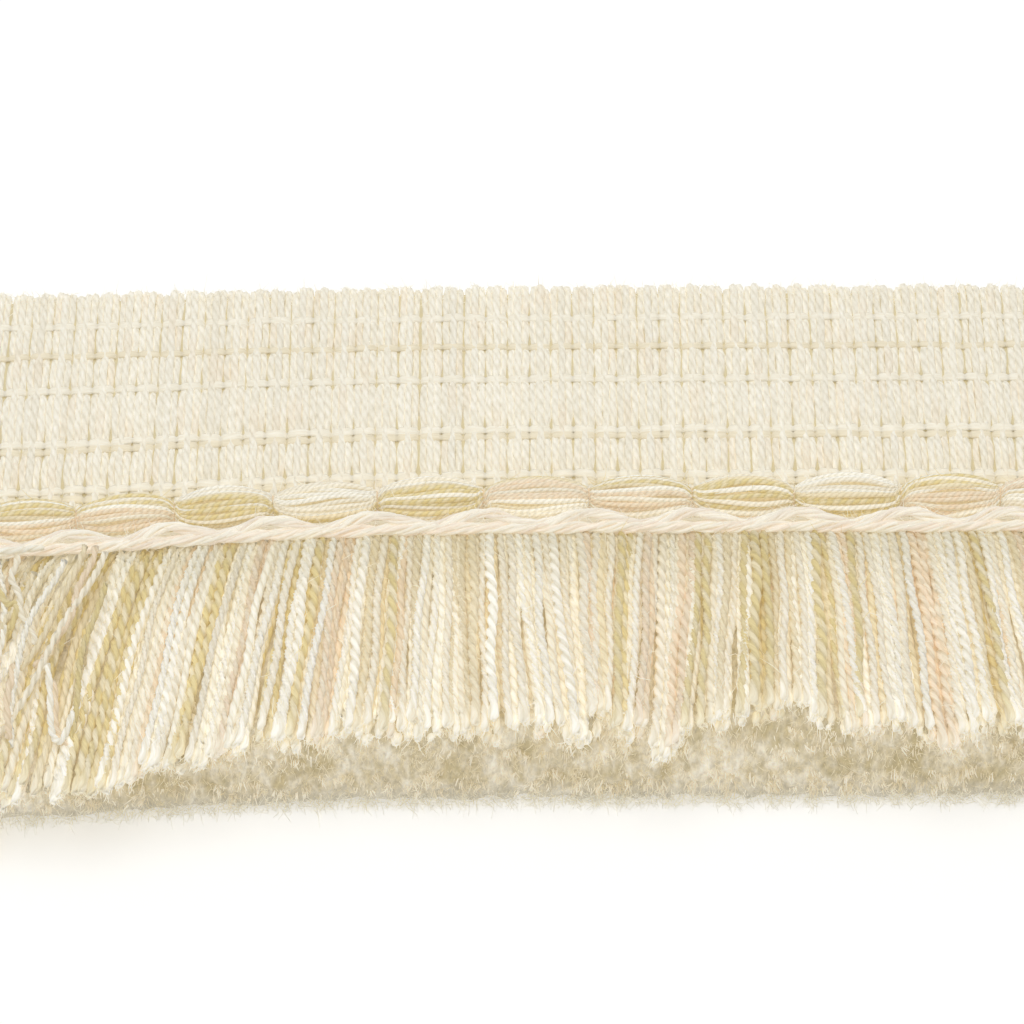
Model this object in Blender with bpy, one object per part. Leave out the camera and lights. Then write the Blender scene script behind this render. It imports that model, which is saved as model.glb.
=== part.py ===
"""A cut length of thick brush fringe trim, lying face up on a flat surface.

The trim runs along X. Its woven heading tape lies at +Y, flat on the surface. A bundle of gimp yarns is tied
down on it into a row of puffs. A two-strand cord binds the root of the brush, whose locks run to -Y and rest
on the surface. The origin is the middle of the tape's flat back.
"""

import math
import random
from typing import NamedTuple

import bmesh
import bpy

MM = 0.001
CLEAR = 0.3 * MM

LENGTH = 100.0 * MM
HALF_LENGTH = LENGTH / 2

TAPE_WIDTH = 26.4 * MM
TAPE_EDGE = 0.75 * MM
TAPE_COLUMNS = 58
TAPE_SCALLOP = 0.55 * MM
TAPE_SCALLOP_REACH = 4.0 * MM
OVER_TAPE = 1.95 * MM

GIMP_Y = -9.85 * MM
GIMP_HALF_DEPTH = 1.75 * MM
GIMP_HALF_HEIGHT = 1.65 * MM
GIMP_WAIST = 0.8 * MM
GIMP_WAIST_HALF_LENGTH = 0.4 * MM
GIMP_LOBES = 6
GIMP_GROOVE = 0.86
GIMP_FULLNESS = 0.65

TIE_WIDTH = 0.6 * MM
TIE_THICKNESS = 0.42 * MM
TIE_STEPS = 6

BINDING_Y = -13.5 * MM
BINDING_STRAND = 0.78 * MM
BINDING_SPREAD = 0.62 * MM
BINDING_FLATNESS = 0.72
BINDING_HALF_TURN = 7.8 * MM
BINDING_STEP = 1.6 * MM
BINDING_SIDES = 10

BACKING_REAR = -11.95 * MM
BACKING_STEP_DOWN = -13.5 * MM
BACKING_FRONT = -15.4 * MM
BACKING_TOP = 4.6 * MM

LOCK_COLUMNS = 54
LOCK_GAP = 0.34 * MM
LOCK_TIP_HEIGHT = 7.6 * MM
LOCK_SWELL_SHARE = 0.11
LOCK_LEAN_POWER = 1.25
LOCK_SIDE_JITTER = 0.26 * MM
LOCK_TIP_JITTER = 0.7 * MM
LOCK_TOP_JITTER = 0.25 * MM
LOCK_SEED = 41


class Lie(NamedTuple):
    """How far the tape and the rows sewn to it are drawn forward at a place along the trim."""

    x: float
    tape: float
    rows: float


class TapeLine(NamedTuple):
    """A line of the tape's face along X: its place, the height of a column there and of the dip between."""

    y: float
    crest: float
    dip: float


class Puff(NamedTuple):
    """A puff of the gimp bundle: its length between two ties and its girth against the common one."""

    length: float
    girth: float


class Lean(NamedTuple):
    """How far the tips of the locks whose roots are at x lean along X."""

    x: float
    shift: float


class LockRow(NamedTuple):
    """A row of locks: its tips, how much of the common lean it takes and where its bends are."""

    tip: float
    lean: float
    bends: tuple


LIES = (
    Lie(-50.0 * MM, -1.10 * MM, -2.50 * MM),
    Lie(-43.0 * MM, -0.85 * MM, -2.25 * MM),
    Lie(-36.0 * MM, -0.65 * MM, -1.80 * MM),
    Lie(-30.0 * MM, -0.50 * MM, -1.25 * MM),
    Lie(-23.0 * MM, -0.30 * MM, -0.70 * MM),
    Lie(-14.0 * MM, -0.15 * MM, -0.25 * MM),
    Lie(0.0, 0.0, 0.0),
    Lie(50.0 * MM, 0.25 * MM, 0.20 * MM),
)

TAPE_LINES = (
    TapeLine(12.5 * MM, 1.60 * MM, 1.20 * MM),
    TapeLine(11.0 * MM, 1.85 * MM, 1.35 * MM),
    TapeLine(8.9 * MM, 1.45 * MM, 1.30 * MM),
    TapeLine(7.7 * MM, 1.85 * MM, 1.35 * MM),
    TapeLine(6.5 * MM, 1.45 * MM, 1.30 * MM),
    TapeLine(4.9 * MM, 1.85 * MM, 1.35 * MM),
    TapeLine(3.3 * MM, 1.45 * MM, 1.25 * MM),
    TapeLine(0.6 * MM, 1.85 * MM, 1.30 * MM),
    TapeLine(-2.2 * MM, 1.40 * MM, 1.20 * MM),
    TapeLine(-4.1 * MM, 1.80 * MM, 1.30 * MM),
    TapeLine(-6.0 * MM, 1.35 * MM, 1.15 * MM),
    TapeLine(-7.6 * MM, 1.60 * MM, 1.35 * MM),
    TapeLine(-12.6 * MM, 1.60 * MM, 1.50 * MM),
)

PUFFS = (
    Puff(4.7 * MM, 0.94),
    Puff(7.2 * MM, 1.00),
    Puff(7.5 * MM, 0.96),
    Puff(7.5 * MM, 1.03),
    Puff(8.0 * MM, 0.95),
    Puff(8.1 * MM, 1.04),
    Puff(8.1 * MM, 0.95),
    Puff(7.9 * MM, 0.98),
    Puff(7.8 * MM, 1.00),
    Puff(8.2 * MM, 1.05),
    Puff(7.6 * MM, 1.05),
    Puff(7.8 * MM, 0.97),
    Puff(7.9 * MM, 1.02),
    Puff(1.7 * MM, 0.80),
)

PUFF_STATIONS = (0.0, 0.12, 0.33, 0.67, 0.88, 1.0)

LEANS = (
    Lean(-50.0 * MM, -6.4 * MM),
    Lean(-40.0 * MM, -5.8 * MM),
    Lean(-30.0 * MM, -4.0 * MM),
    Lean(-22.0 * MM, -2.5 * MM),
    Lean(-10.0 * MM, -0.2 * MM),
    Lean(-2.0 * MM, 1.4 * MM),
    Lean(4.5 * MM, -1.0 * MM),
    Lean(10.0 * MM, -1.3 * MM),
    Lean(16.0 * MM, -0.1 * MM),
    Lean(24.0 * MM, 0.9 * MM),
    Lean(33.0 * MM, 1.6 * MM),
    Lean(50.0 * MM, 2.4 * MM),
)

LOCK_ROWS = (
    LockRow(-34.8 * MM, 0.80, (0.05, 0.45)),
    LockRow(-34.2 * MM, 0.90, (0.06,)),
    LockRow(-33.3 * MM, 0.95, (0.06,)),
    LockRow(-32.4 * MM, 1.00, (0.05, 0.40)),
)


def clear_scene():
    """Remove the objects that the startup file brings."""
    for obj in list(bpy.data.objects):
        bpy.data.objects.remove(obj, do_unlink=True)


def smooth(rows, column, x):
    """Read a column of a table at x from the smooth curve through its rows, level past both ends."""
    xs = [row.x for row in rows]
    values = [getattr(row, column) for row in rows]
    if x <= xs[0]:
        return values[0]
    if x >= xs[-1]:
        return values[-1]
    at = max(i for i in range(len(xs) - 1) if xs[i] <= x)
    before, after = max(at - 1, 0), min(at + 2, len(xs) - 1)
    span = xs[at + 1] - xs[at]
    t = (x - xs[at]) / span
    start = (values[at + 1] - values[before]) / (xs[at + 1] - xs[before]) * span
    end = (values[after] - values[at]) / (xs[after] - xs[at]) * span
    rise = values[at + 1] - values[at]
    square, cube = 3 * rise - 2 * start - end, start + end - 2 * rise
    return values[at] + start * t + square * t**2 + cube * t**3


def tape_drift(x):
    """How far the tape is drawn along Y at x."""
    return smooth(LIES, "tape", x)


def row_drift(x):
    """How far the puffs, the binding and the brush are drawn along Y at x."""
    return smooth(LIES, "rows", x)


def yarn_material(name, colour, roughness):
    """A matt yarn finish."""
    material = bpy.data.materials.new(name)
    material.use_nodes = True
    shader = material.node_tree.nodes["Principled BSDF"]
    shader.inputs["Base Color"].default_value = (*colour, 1.0)
    shader.inputs["Roughness"].default_value = roughness
    shader.inputs["Metallic"].default_value = 0.0
    return material


def finish(bm, name, material, sharp_angle):
    """Turn a bmesh into an object of the scene, with its faces pointing out."""
    bmesh.ops.recalc_face_normals(bm, faces=bm.faces[:])
    mesh = bpy.data.meshes.new(name)
    bm.to_mesh(mesh)
    bm.free()
    mesh.materials.append(material)
    mesh.shade_smooth()
    mesh.set_sharp_from_angle(angle=math.radians(sharp_angle))
    obj = bpy.data.objects.new(name, mesh)
    bpy.context.scene.collection.objects.link(obj)
    return obj


def loft(bm, rings):
    """Extrude an end face from ring to ring, and close the start."""
    first = [bm.verts.new(point) for point in rings[0]]
    face = bm.faces.new(first)
    for ring in rings[1:]:
        face = bmesh.ops.extrude_discrete_faces(bm, faces=[face])["faces"][0]
        for vert, point in zip(face.verts, ring):
            vert.co = point
    bm.faces.new(reversed(first))


def tape_profile(index, x):
    """The points of the tape's face across its width at one line of samples.

    Samples alternate between the dip between two columns and a column's crest. The back edge is scalloped over
    every two columns.
    """
    on_crest = index % 2 == 1
    scallop = TAPE_SCALLOP * (1 + math.cos(math.pi * index / 2)) / 2
    points = [(x, TAPE_WIDTH / 2 - scallop + tape_drift(x), TAPE_EDGE)]
    for line in TAPE_LINES:
        from_edge = TAPE_WIDTH / 2 - line.y
        share = from_edge / TAPE_WIDTH
        drift = (1 - share) * tape_drift(x) + share * row_drift(x)
        notch = scallop * max(0.0, 1 - from_edge / TAPE_SCALLOP_REACH)
        points.append((x, line.y + drift - notch, line.crest if on_crest else line.dip))
    points.append((x, -TAPE_WIDTH / 2 + row_drift(x), TAPE_EDGE))
    return points


def make_tape():
    """The heading tape: a ribbed face over a flat back."""
    bm = bmesh.new()
    samples = 2 * TAPE_COLUMNS
    profiles = [
        tape_profile(i, -HALF_LENGTH + LENGTH * i / samples) for i in range(samples + 1)
    ]
    lines = len(profiles[0])
    bmesh.ops.create_grid(bm, x_segments=samples, y_segments=lines - 1, size=HALF_LENGTH)
    bm.verts.ensure_lookup_table()
    order = sorted(bm.verts, key=lambda v: (round(v.co.x / MM, 3), -round(v.co.y / MM, 3)))
    for at, vert in enumerate(order):
        vert.co = profiles[at // lines][at % lines]
    rim = [edge for edge in bm.edges if edge.is_boundary]
    walls = bmesh.ops.extrude_edge_only(bm, edges=rim)["geom"]
    for item in walls:
        if isinstance(item, bmesh.types.BMVert):
            item.co.z = 0.0
    bmesh.ops.holes_fill(bm, edges=[edge for edge in bm.edges if edge.is_boundary], sides=0)
    return finish(bm, "heading_tape", yarn_material("cream_weave", (0.83, 0.77, 0.64), 0.9), 50)


def gimp_ring(x, depth, height):
    """One ring of the gimp bundle, ridged by its yarns and seated on the tape."""
    points = []
    for step in range(2 * GIMP_LOBES):
        angle = math.pi * step / GIMP_LOBES
        reach = 1.0 if step % 2 == 0 else GIMP_GROOVE
        y = GIMP_Y + row_drift(x) + depth * reach * math.cos(angle)
        z = OVER_TAPE + height + height * reach * math.sin(angle)
        points.append((x, y, z))
    return points


def tie_places():
    """The place of each tie along the trim, between two puffs."""
    places = []
    x = -HALF_LENGTH
    for puff in PUFFS[:-1]:
        x += puff.length
        places.append(x)
    return places


def make_gimp():
    """The bundle of gimp yarns, pinched at every tie into a row of puffs and cut across at both ends."""
    ties = tie_places()
    starts = [-HALF_LENGTH] + [x + GIMP_WAIST_HALF_LENGTH for x in ties]
    ends = [x - GIMP_WAIST_HALF_LENGTH for x in ties] + [HALF_LENGTH]
    phases = [(0.5, 1.0)] + [(0.0, 1.0)] * (len(PUFFS) - 2) + [(0.0, 0.5)]
    rings = []
    for puff, start, end, (first, last) in zip(PUFFS, starts, ends, phases):
        for station in PUFF_STATIONS:
            phase = first + (last - first) * station
            swell = max(0.0, math.sin(math.pi * phase)) ** GIMP_FULLNESS
            depth = GIMP_WAIST + (GIMP_HALF_DEPTH * puff.girth - GIMP_WAIST) * swell
            height = GIMP_WAIST + (GIMP_HALF_HEIGHT * puff.girth - GIMP_WAIST) * swell
            rings.append(gimp_ring(start + (end - start) * station, depth, height))
    bm = bmesh.new()
    loft(bm, rings)
    return finish(bm, "gimp_bundle", yarn_material("mixed_gimp", (0.80, 0.68, 0.47), 0.85), 60)


def make_tie(number, x):
    """A small thread arch that holds the gimp bundle down between two puffs."""
    inner = GIMP_WAIST + CLEAR
    outer = inner + TIE_THICKNESS
    centre_y = GIMP_Y + row_drift(x)
    centre_z = OVER_TAPE + GIMP_WAIST
    angles = [math.pi * step / TIE_STEPS for step in range(TIE_STEPS + 1)]
    outline = [(centre_y - outer, OVER_TAPE)]
    for angle in reversed(angles):
        outline.append((centre_y + outer * math.cos(angle), centre_z + outer * math.sin(angle)))
    outline.append((centre_y + outer, OVER_TAPE))
    outline.append((centre_y + inner, OVER_TAPE))
    for angle in angles:
        outline.append((centre_y + inner * math.cos(angle), centre_z + inner * math.sin(angle)))
    outline.append((centre_y - inner, OVER_TAPE))
    bm = bmesh.new()
    loft(bm, [[(side, y, z) for y, z in outline] for side in (x - TIE_WIDTH / 2, x + TIE_WIDTH / 2)])
    return finish(bm, f"tie_{number:02d}", yarn_material("tie_thread", (0.86, 0.80, 0.70), 0.8), 40)


def binding_ring(x):
    """One ring of the binding cord: two round strands side by side, pressed flat and turned about their middle."""
    turn = math.pi * x / BINDING_HALF_TURN
    centre_y = BINDING_Y + row_drift(x)
    centre_z = BACKING_TOP + CLEAR + (BINDING_STRAND + BINDING_SPREAD) * BINDING_FLATNESS
    points = []
    for step in range(BINDING_SIDES):
        angle = 2 * math.pi * step / BINDING_SIDES
        across = BINDING_SPREAD * math.sin(angle)
        reach = BINDING_SPREAD * abs(math.cos(angle)) + math.sqrt(BINDING_STRAND**2 - across**2)
        y = reach * math.cos(angle + turn)
        z = reach * math.sin(angle + turn) * BINDING_FLATNESS
        points.append((x, centre_y + y, centre_z + z))
    return points


def make_binding():
    """The two-strand cord that lies along the root of the brush."""
    steps = round(LENGTH / BINDING_STEP)
    rings = [binding_ring(-HALF_LENGTH + LENGTH * step / steps) for step in range(steps + 1)]
    bm = bmesh.new()
    loft(bm, rings)
    return finish(bm, "binding_cord", yarn_material("pale_cord", (0.88, 0.82, 0.74), 0.7), 60)


class Brush:
    """The brush of the fringe: rows of locks fused at their roots into a backing strip."""

    def __init__(self):
        """Work out the borders between the locks of every row."""
        rng = random.Random(LOCK_SEED)
        pitch = LENGTH / LOCK_COLUMNS
        self.roots = [-HALF_LENGTH + pitch * i for i in range(LOCK_COLUMNS + 1)]
        self.side_jitter = [
            [rng.uniform(-1, 1) * LOCK_SIDE_JITTER for _ in self.roots] for _ in LOCK_ROWS
        ]
        self.tip_jitter = [
            [rng.uniform(-1, 1) * LOCK_TIP_JITTER for _ in range(LOCK_COLUMNS)] for _ in LOCK_ROWS
        ]
        self.top_jitter = [rng.uniform(-1, 1) * LOCK_TOP_JITTER for _ in range(LOCK_COLUMNS)]

    def side(self, row, border, share):
        """The place along X of a border between two locks, at a share of the way to the tips."""
        root = self.roots[border]
        lean = smooth(LEANS, "shift", root) * LOCK_ROWS[row].lean
        return root + lean * share**LOCK_LEAN_POWER + self.side_jitter[row][border] * share

    def level(self, border, share):
        """The height of a border between two rows of locks, at a share of the way to the tips."""
        swell = 1 - math.exp(-share / LOCK_SWELL_SHARE)
        top = BACKING_TOP + (LOCK_TIP_HEIGHT - BACKING_TOP) * swell
        return top * border / len(LOCK_ROWS)

    def corner(self, row, column, share, right, high):
        """A corner of a lock's section, at a share of the way from the backing to the row's tips."""
        inset = LOCK_GAP / 2
        x = self.side(row, column + right, share) + (inset if not right else -inset)
        z = self.level(row + high, share)
        if high:
            z += -inset if row < len(LOCK_ROWS) - 1 else self.top_jitter[column] * share
        elif row > 0:
            z += inset
        root_x = (self.roots[column] + self.roots[column + 1]) / 2
        y = BACKING_FRONT + (LOCK_ROWS[row].tip - BACKING_FRONT) * share + row_drift(root_x)
        return x, y, z

    def backing_ring(self, x):
        """The outline of the backing at x: it steps over the tape's edge and down to the surface."""
        rows = len(LOCK_ROWS)
        outline = [(BACKING_REAR, OVER_TAPE), (BACKING_REAR, BACKING_TOP)]
        outline += [(BACKING_FRONT, BACKING_TOP * (rows - row) / rows) for row in range(rows + 1)]
        outline += [(BACKING_STEP_DOWN, 0.0), (BACKING_STEP_DOWN, OVER_TAPE)]
        return [(x, y + row_drift(x), z) for y, z in outline]

    def make(self):
        """Inset the front of the backing into one small face for each lock, and extrude those to the tips."""
        bm = bmesh.new()
        loft(bm, [self.backing_ring(x) for x in self.roots])
        bm.faces.ensure_lookup_table()
        lock_number = bm.faces.layers.int.new("lock")
        rows = len(LOCK_ROWS)
        fronts = []
        for face in bm.faces:
            face[lock_number] = -1
            centre = face.calc_center_median()
            drifted = BACKING_FRONT + row_drift(centre.x)
            if len(face.verts) == 4 and abs(centre.y - drifted) < 0.1 * MM:
                column = int((centre.x + HALF_LENGTH) / LENGTH * LOCK_COLUMNS)
                row = int(centre.z / BACKING_TOP * rows)
                face[lock_number] = row * LOCK_COLUMNS + column
                fronts.append(face)
        bmesh.ops.inset_individual(bm, faces=fronts, thickness=LOCK_GAP / 2, use_even_offset=True)
        self.extrude(bm, fronts, lock_number)
        return finish(bm, "brush_fringe", yarn_material("cream_strands", (0.87, 0.82, 0.70), 0.9), 50)

    def extrude(self, bm, faces, lock_number):
        """Extrude every lock from bend to bend, and its last stretch to its own tip."""
        for step in range(max(len(row.bends) for row in LOCK_ROWS) + 1):
            moving = [f for f in faces if step <= len(LOCK_ROWS[f[lock_number] // LOCK_COLUMNS].bends)]
            moved = bmesh.ops.extrude_discrete_faces(bm, faces=moving)["faces"]
            for face in moved:
                row, column = divmod(face[lock_number], LOCK_COLUMNS)
                bends = LOCK_ROWS[row].bends
                reach = BACKING_FRONT - LOCK_ROWS[row].tip
                share = bends[step] if step < len(bends) else 1 + self.tip_jitter[row][column] / reach
                middle = face.calc_center_median()
                for vert in face.verts:
                    right = vert.co.x > middle.x
                    high = vert.co.z > middle.z
                    vert.co = self.corner(row, column, share, right, high)
            faces = moved


def make_part():
    """Build every piece of the trim."""
    clear_scene()
    make_tape()
    make_gimp()
    for number, x in enumerate(tie_places(), start=1):
        make_tie(number, x)
    make_binding()
    Brush().make()


if __name__ == "__main__":
    make_part()
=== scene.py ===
"""Looks of a cut length of thick cream brush fringe trim that lies face up on a pale floor.

The trim runs along X. Its woven heading tape lies at +Y, tied puffs of gimp yarn and a binding cord cover
its other edge, and the cut brush lies towards -Y. Sizes in the classes are millimetres, meshes are metres.
"""

from __future__ import annotations

import logging
import math
from dataclasses import dataclass, field
from enum import Enum

import bmesh
import bpy
import numpy as np
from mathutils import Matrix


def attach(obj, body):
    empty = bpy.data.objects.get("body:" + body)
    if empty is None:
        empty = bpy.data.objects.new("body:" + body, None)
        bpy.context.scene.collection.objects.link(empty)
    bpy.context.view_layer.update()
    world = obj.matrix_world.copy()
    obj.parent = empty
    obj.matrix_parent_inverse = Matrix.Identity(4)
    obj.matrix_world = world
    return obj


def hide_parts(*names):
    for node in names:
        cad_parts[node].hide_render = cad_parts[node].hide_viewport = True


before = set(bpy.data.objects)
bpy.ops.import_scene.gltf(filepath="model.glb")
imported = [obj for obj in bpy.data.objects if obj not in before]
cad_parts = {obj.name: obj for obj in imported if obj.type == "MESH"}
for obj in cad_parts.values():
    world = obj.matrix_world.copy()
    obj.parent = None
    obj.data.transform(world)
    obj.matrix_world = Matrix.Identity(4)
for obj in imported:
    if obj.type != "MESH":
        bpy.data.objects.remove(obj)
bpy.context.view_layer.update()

Array = np.ndarray
Chance = np.random.Generator
LOG = logging.getLogger("trim")
MM = 0.001
LENGTH = 100.0
HALF = LENGTH / 2
TURN = 2 * math.pi
# Light that is lost between cream fibres loses more blue than red, so their shade is warm.
WARM_SHADE = (0.90, 1.0, 1.30)
# Each part's material slot and the solid that its pieces replace.
TAPE = ("tape_weave", "heading_tape")
GIMP = ("gimp_yarn", "gimp_bundle")
BINDING = ("binding_yarn", "binding_cord")
BRUSH = ("brush_yarn", "brush_fringe")


def linear(code: str) -> Array:
    """Turns an sRGB hex colour into linear light.

    Args:
        code: The colour as #RRGGBB.

    Returns:
        Its three linear parts.
    """
    parts = np.array([int(code[i : i + 2], 16) / 255 for i in (1, 3, 5)])
    return np.where(parts <= 0.04045, parts / 12.92, ((parts + 0.055) / 1.055) ** 2.4)


class Dye(Enum):
    """The colours that the trim's yarns are dyed, as sRGB."""

    WHITE = "#FBF7EA"
    IVORY = "#F7F2E3"
    CREAM = "#F2EAD6"
    SAND = "#EADDBD"
    OLIVE = "#DECD98"
    PEACH = "#ECD9BD"
    ROSE = "#F4E5D3"

    @property
    def light(self) -> Array:
        """The dye in linear light."""
        return linear(self.value)


def smooth(table: Array, column: int, x: Array) -> Array:
    """Reads a column of a table from the smooth curve through its rows, level past both ends.

    Args:
        table: Rows of x and values, in order of x.
        column: The column to read.
        x: Where to read it.

    Returns:
        The values at x.
    """
    knots, values = table[:, 0], table[:, column]
    x = np.clip(np.asarray(x, float), knots[0], knots[-1])
    at = np.clip(np.searchsorted(knots, x, side="right") - 1, 0, len(knots) - 2)
    before, after = np.maximum(at - 1, 0), np.minimum(at + 2, len(knots) - 1)
    span = knots[at + 1] - knots[at]
    share = (x - knots[at]) / span
    start = (values[at + 1] - values[before]) / (knots[at + 1] - knots[before]) * span
    end = (values[after] - values[at]) / (knots[after] - knots[at]) * span
    rise = values[at + 1] - values[at]
    square, cube = 3 * rise - 2 * start - end, start + end - 2 * rise
    return values[at] + start * share + square * share**2 + cube * share**3


def ease(low: float, high: float, x: Array) -> Array:
    """Rises smoothly from 0 at low to 1 at high.

    Args:
        low: Where the rise starts.
        high: Where it ends; it may be below low.
        x: Where to read it.

    Returns:
        The share of the rise at x.
    """
    share = np.clip((np.asarray(x, float) - low) / (high - low), 0, 1)
    return share * share * (3 - 2 * share)


def blend(first: Array, second: Array, share: Array) -> Array:
    """Mixes two values or colours: the first where the share is 0, the second where it is 1."""
    return first * (1 - share) + second * share


def unit(way: Array) -> Array:
    """Scales directions to a length of 1."""
    return way / (np.linalg.norm(way, axis=-1, keepdims=True) + 1e-9)


def spread_length(line: Array, t: Array) -> Array:
    """Shares out the whole length of each line over its rings, at the shares t."""
    return np.linalg.norm(np.diff(line, axis=1), axis=2).sum(axis=1)[:, None] * t


class Lie:
    """How the trim lies: what draws its tape and its rows forward at the left."""

    TABLE = np.array(
        [
            (-50, -1.10, -2.50), (-43, -0.85, -2.25), (-36, -0.65, -1.80), (-30, -0.50, -1.25),
            (-23, -0.30, -0.70), (-14, -0.15, -0.25), (0, 0, 0), (50, 0.25, 0.20),
        ],
        float,
    )

    @classmethod
    def rows(cls, x: Array) -> Array:
        """How far the puffs, the binding and the brush are drawn along Y at x."""
        return smooth(cls.TABLE, 2, x)

    @classmethod
    def tape(cls, x: Array, y: Array, width: float) -> Array:
        """How far a point of the tape is drawn along Y.

        Args:
            x: Its place along the trim.
            y: Its place across the tape before it is drawn.
            width: The tape's width.

        Returns:
            The distance along Y.
        """
        share = np.clip((width / 2 - y) / width, 0, 1)
        return blend(smooth(cls.TABLE, 1, x), cls.rows(x), share)


@dataclass(frozen=True)
class Tube:
    """The faces of a closed thread in rings and sides, ready to be bent along many lines."""

    corners: Array
    starts: Array
    around: Array
    ring: Array

    @classmethod
    def make(cls, rings: int, sides: int) -> Tube:
        """Makes a straight closed tube and reads its faces.

        Args:
            rings: Rings of vertices along it.
            sides: Vertices in a ring.

        Returns:
            The tube's faces, with the share of the way round at each of their corners.
        """
        bm = bmesh.new()
        bmesh.ops.create_cone(bm, cap_ends=True, segments=sides, radius1=1, radius2=1, depth=rings - 1)
        lengthways = [e for e in bm.edges if abs(e.verts[0].co.z - e.verts[1].co.z) > 0.5]
        if rings > 2:
            bmesh.ops.subdivide_edges(bm, edges=lengthways, cuts=rings - 2)
        bm.verts.ensure_lookup_table()
        first = math.atan2(bm.verts[0].co.y, bm.verts[0].co.x)
        place = {}
        for vert in bm.verts:
            angle = (math.atan2(vert.co.y, vert.co.x) - first) / TURN
            place[vert] = (round(vert.co.z + (rings - 1) / 2), round(angle * sides) % sides)
        corners, starts, around, ring = [], [], [], []
        for face in bm.faces:
            spots = [place[vert] for vert in face.verts]
            cap = len({spot[0] for spot in spots}) == 1
            wraps = not cap and {0, sides - 1} <= {spot[1] for spot in spots}
            starts.append(len(corners))
            for level, step in spots:
                corners.append(level * sides + step)
                around.append((step + (sides if wraps and step == 0 else 0)) / sides)
                ring.append(level)
        bm.free()
        return cls(*(np.array(a) for a in (corners, starts, around, ring)))


@dataclass
class Threads:
    """Threads of one kind, each with the same number of rings.

    Attributes:
        line: Centres of the rings in mm, as threads by rings by 3.
        half: Half widths in mm, as threads by rings.
        dye: Linear colours, as threads by rings by 3.
        section: Reach of each corner of a ring against the half width.
        turn: Angle of each ring, as threads by rings.
        flatness: Height of a ring against its width.
        upright: The direction that a ring's height keeps to.
        marled: How much paler the second ply is, for all or for each thread.
    """

    line: Array
    half: Array
    dye: Array
    section: Array
    turn: Array | float = 0.0
    flatness: float = 1.0
    upright: tuple[float, float, float] = (0.0, 0.0, 1.0)
    marled: Array | float = 0.0

    def vertices(self) -> Array:
        """Bends every ring round its thread's line, and returns the vertices in mm."""
        ahead = unit(np.gradient(self.line, axis=1))
        side = unit(np.cross(ahead, np.array(self.upright)))
        over = np.cross(ahead, side) * self.flatness
        steps = TURN * np.arange(len(self.section)) / len(self.section)
        turn = np.broadcast_to(np.asarray(self.turn, float), self.half.shape)
        angle = turn[..., None] + steps
        reach = self.half[..., None] * np.asarray(self.section, float)
        across = (reach * np.cos(angle))[..., None] * side[:, :, None, :]
        upward = (reach * np.sin(angle))[..., None] * over[:, :, None, :]
        return self.line[:, :, None, :] + across + upward

    def lengths(self) -> Array:
        """How far along its thread each ring is, in mm."""
        steps = np.linalg.norm(np.diff(self.line, axis=1), axis=2)
        return np.concatenate([np.zeros((len(self.line), 1)), np.cumsum(steps, axis=1)], axis=1)


@dataclass
class Skin(Threads):
    """One closed skin, made as a single thick thread whose ring corners are all given."""

    corners: Array | None = None

    def vertices(self) -> Array:
        """Returns the given corners in mm."""
        return self.corners


def grow_fibres(
    rng: Chance, base: Array, way: Array, reach: tuple[float, float], half: tuple[float, float], dye: Array,
    curl: float,
) -> Threads:
    """Grows thin curled fibres of three rings each.

    Args:
        rng: The source of chance.
        base: Where the fibres start.
        way: The directions that they set out in.
        reach: Least and greatest length.
        half: Least and greatest half width.
        dye: Their linear colours.
        curl: How far they bend, against their length.

    Returns:
        The fibres.
    """
    count = len(base)
    length = rng.uniform(*reach, (count, 1))
    t = np.array((0, 0.5, 1))[None, :, None]
    bend = (rng.normal(0, curl, (count, 3)) * length)[:, None]
    line = base[:, None] + (unit(way) * length)[:, None] * t + bend * t**2
    line[..., 2] = np.maximum(line[..., 2], 0.05)
    width = rng.uniform(*half, (count, 1)) * (1, 0.9, 0.45)
    return Threads(line, width, dye[:, None], FIBRE, 0.0, 1.0, (1.0, 0.1, 0.2))


def stray_hairs(rng: Chance, lot: Threads, count: int, reach: tuple[float, float]) -> Threads:
    """Grows hairs that stand out of the upper side of some threads.

    Args:
        rng: The source of chance.
        lot: The threads.
        count: How many hairs.
        reach: Their least and greatest length.

    Returns:
        The hairs.
    """
    threads, rings = lot.half.shape
    thread = rng.integers(0, threads, count)
    ring = rng.integers(1, rings - 1, count)
    along = unit(lot.line[thread, ring + 1] - lot.line[thread, ring])
    out = unit(rng.normal(0, 1, (count, 3)))
    out[:, 2] = np.abs(out[:, 2])
    base = lot.line[thread, ring] + out * lot.half[thread, ring][:, None] * 0.7
    way = out * 0.7 + along * rng.choice((-1.0, 1.0), (count, 1))
    dye = np.broadcast_to(lot.dye, (threads, rings, 3))[thread, ring]
    return grow_fibres(rng, base, way, reach, (0.016, 0.026), dye * 1.02, 0.55)


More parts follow.
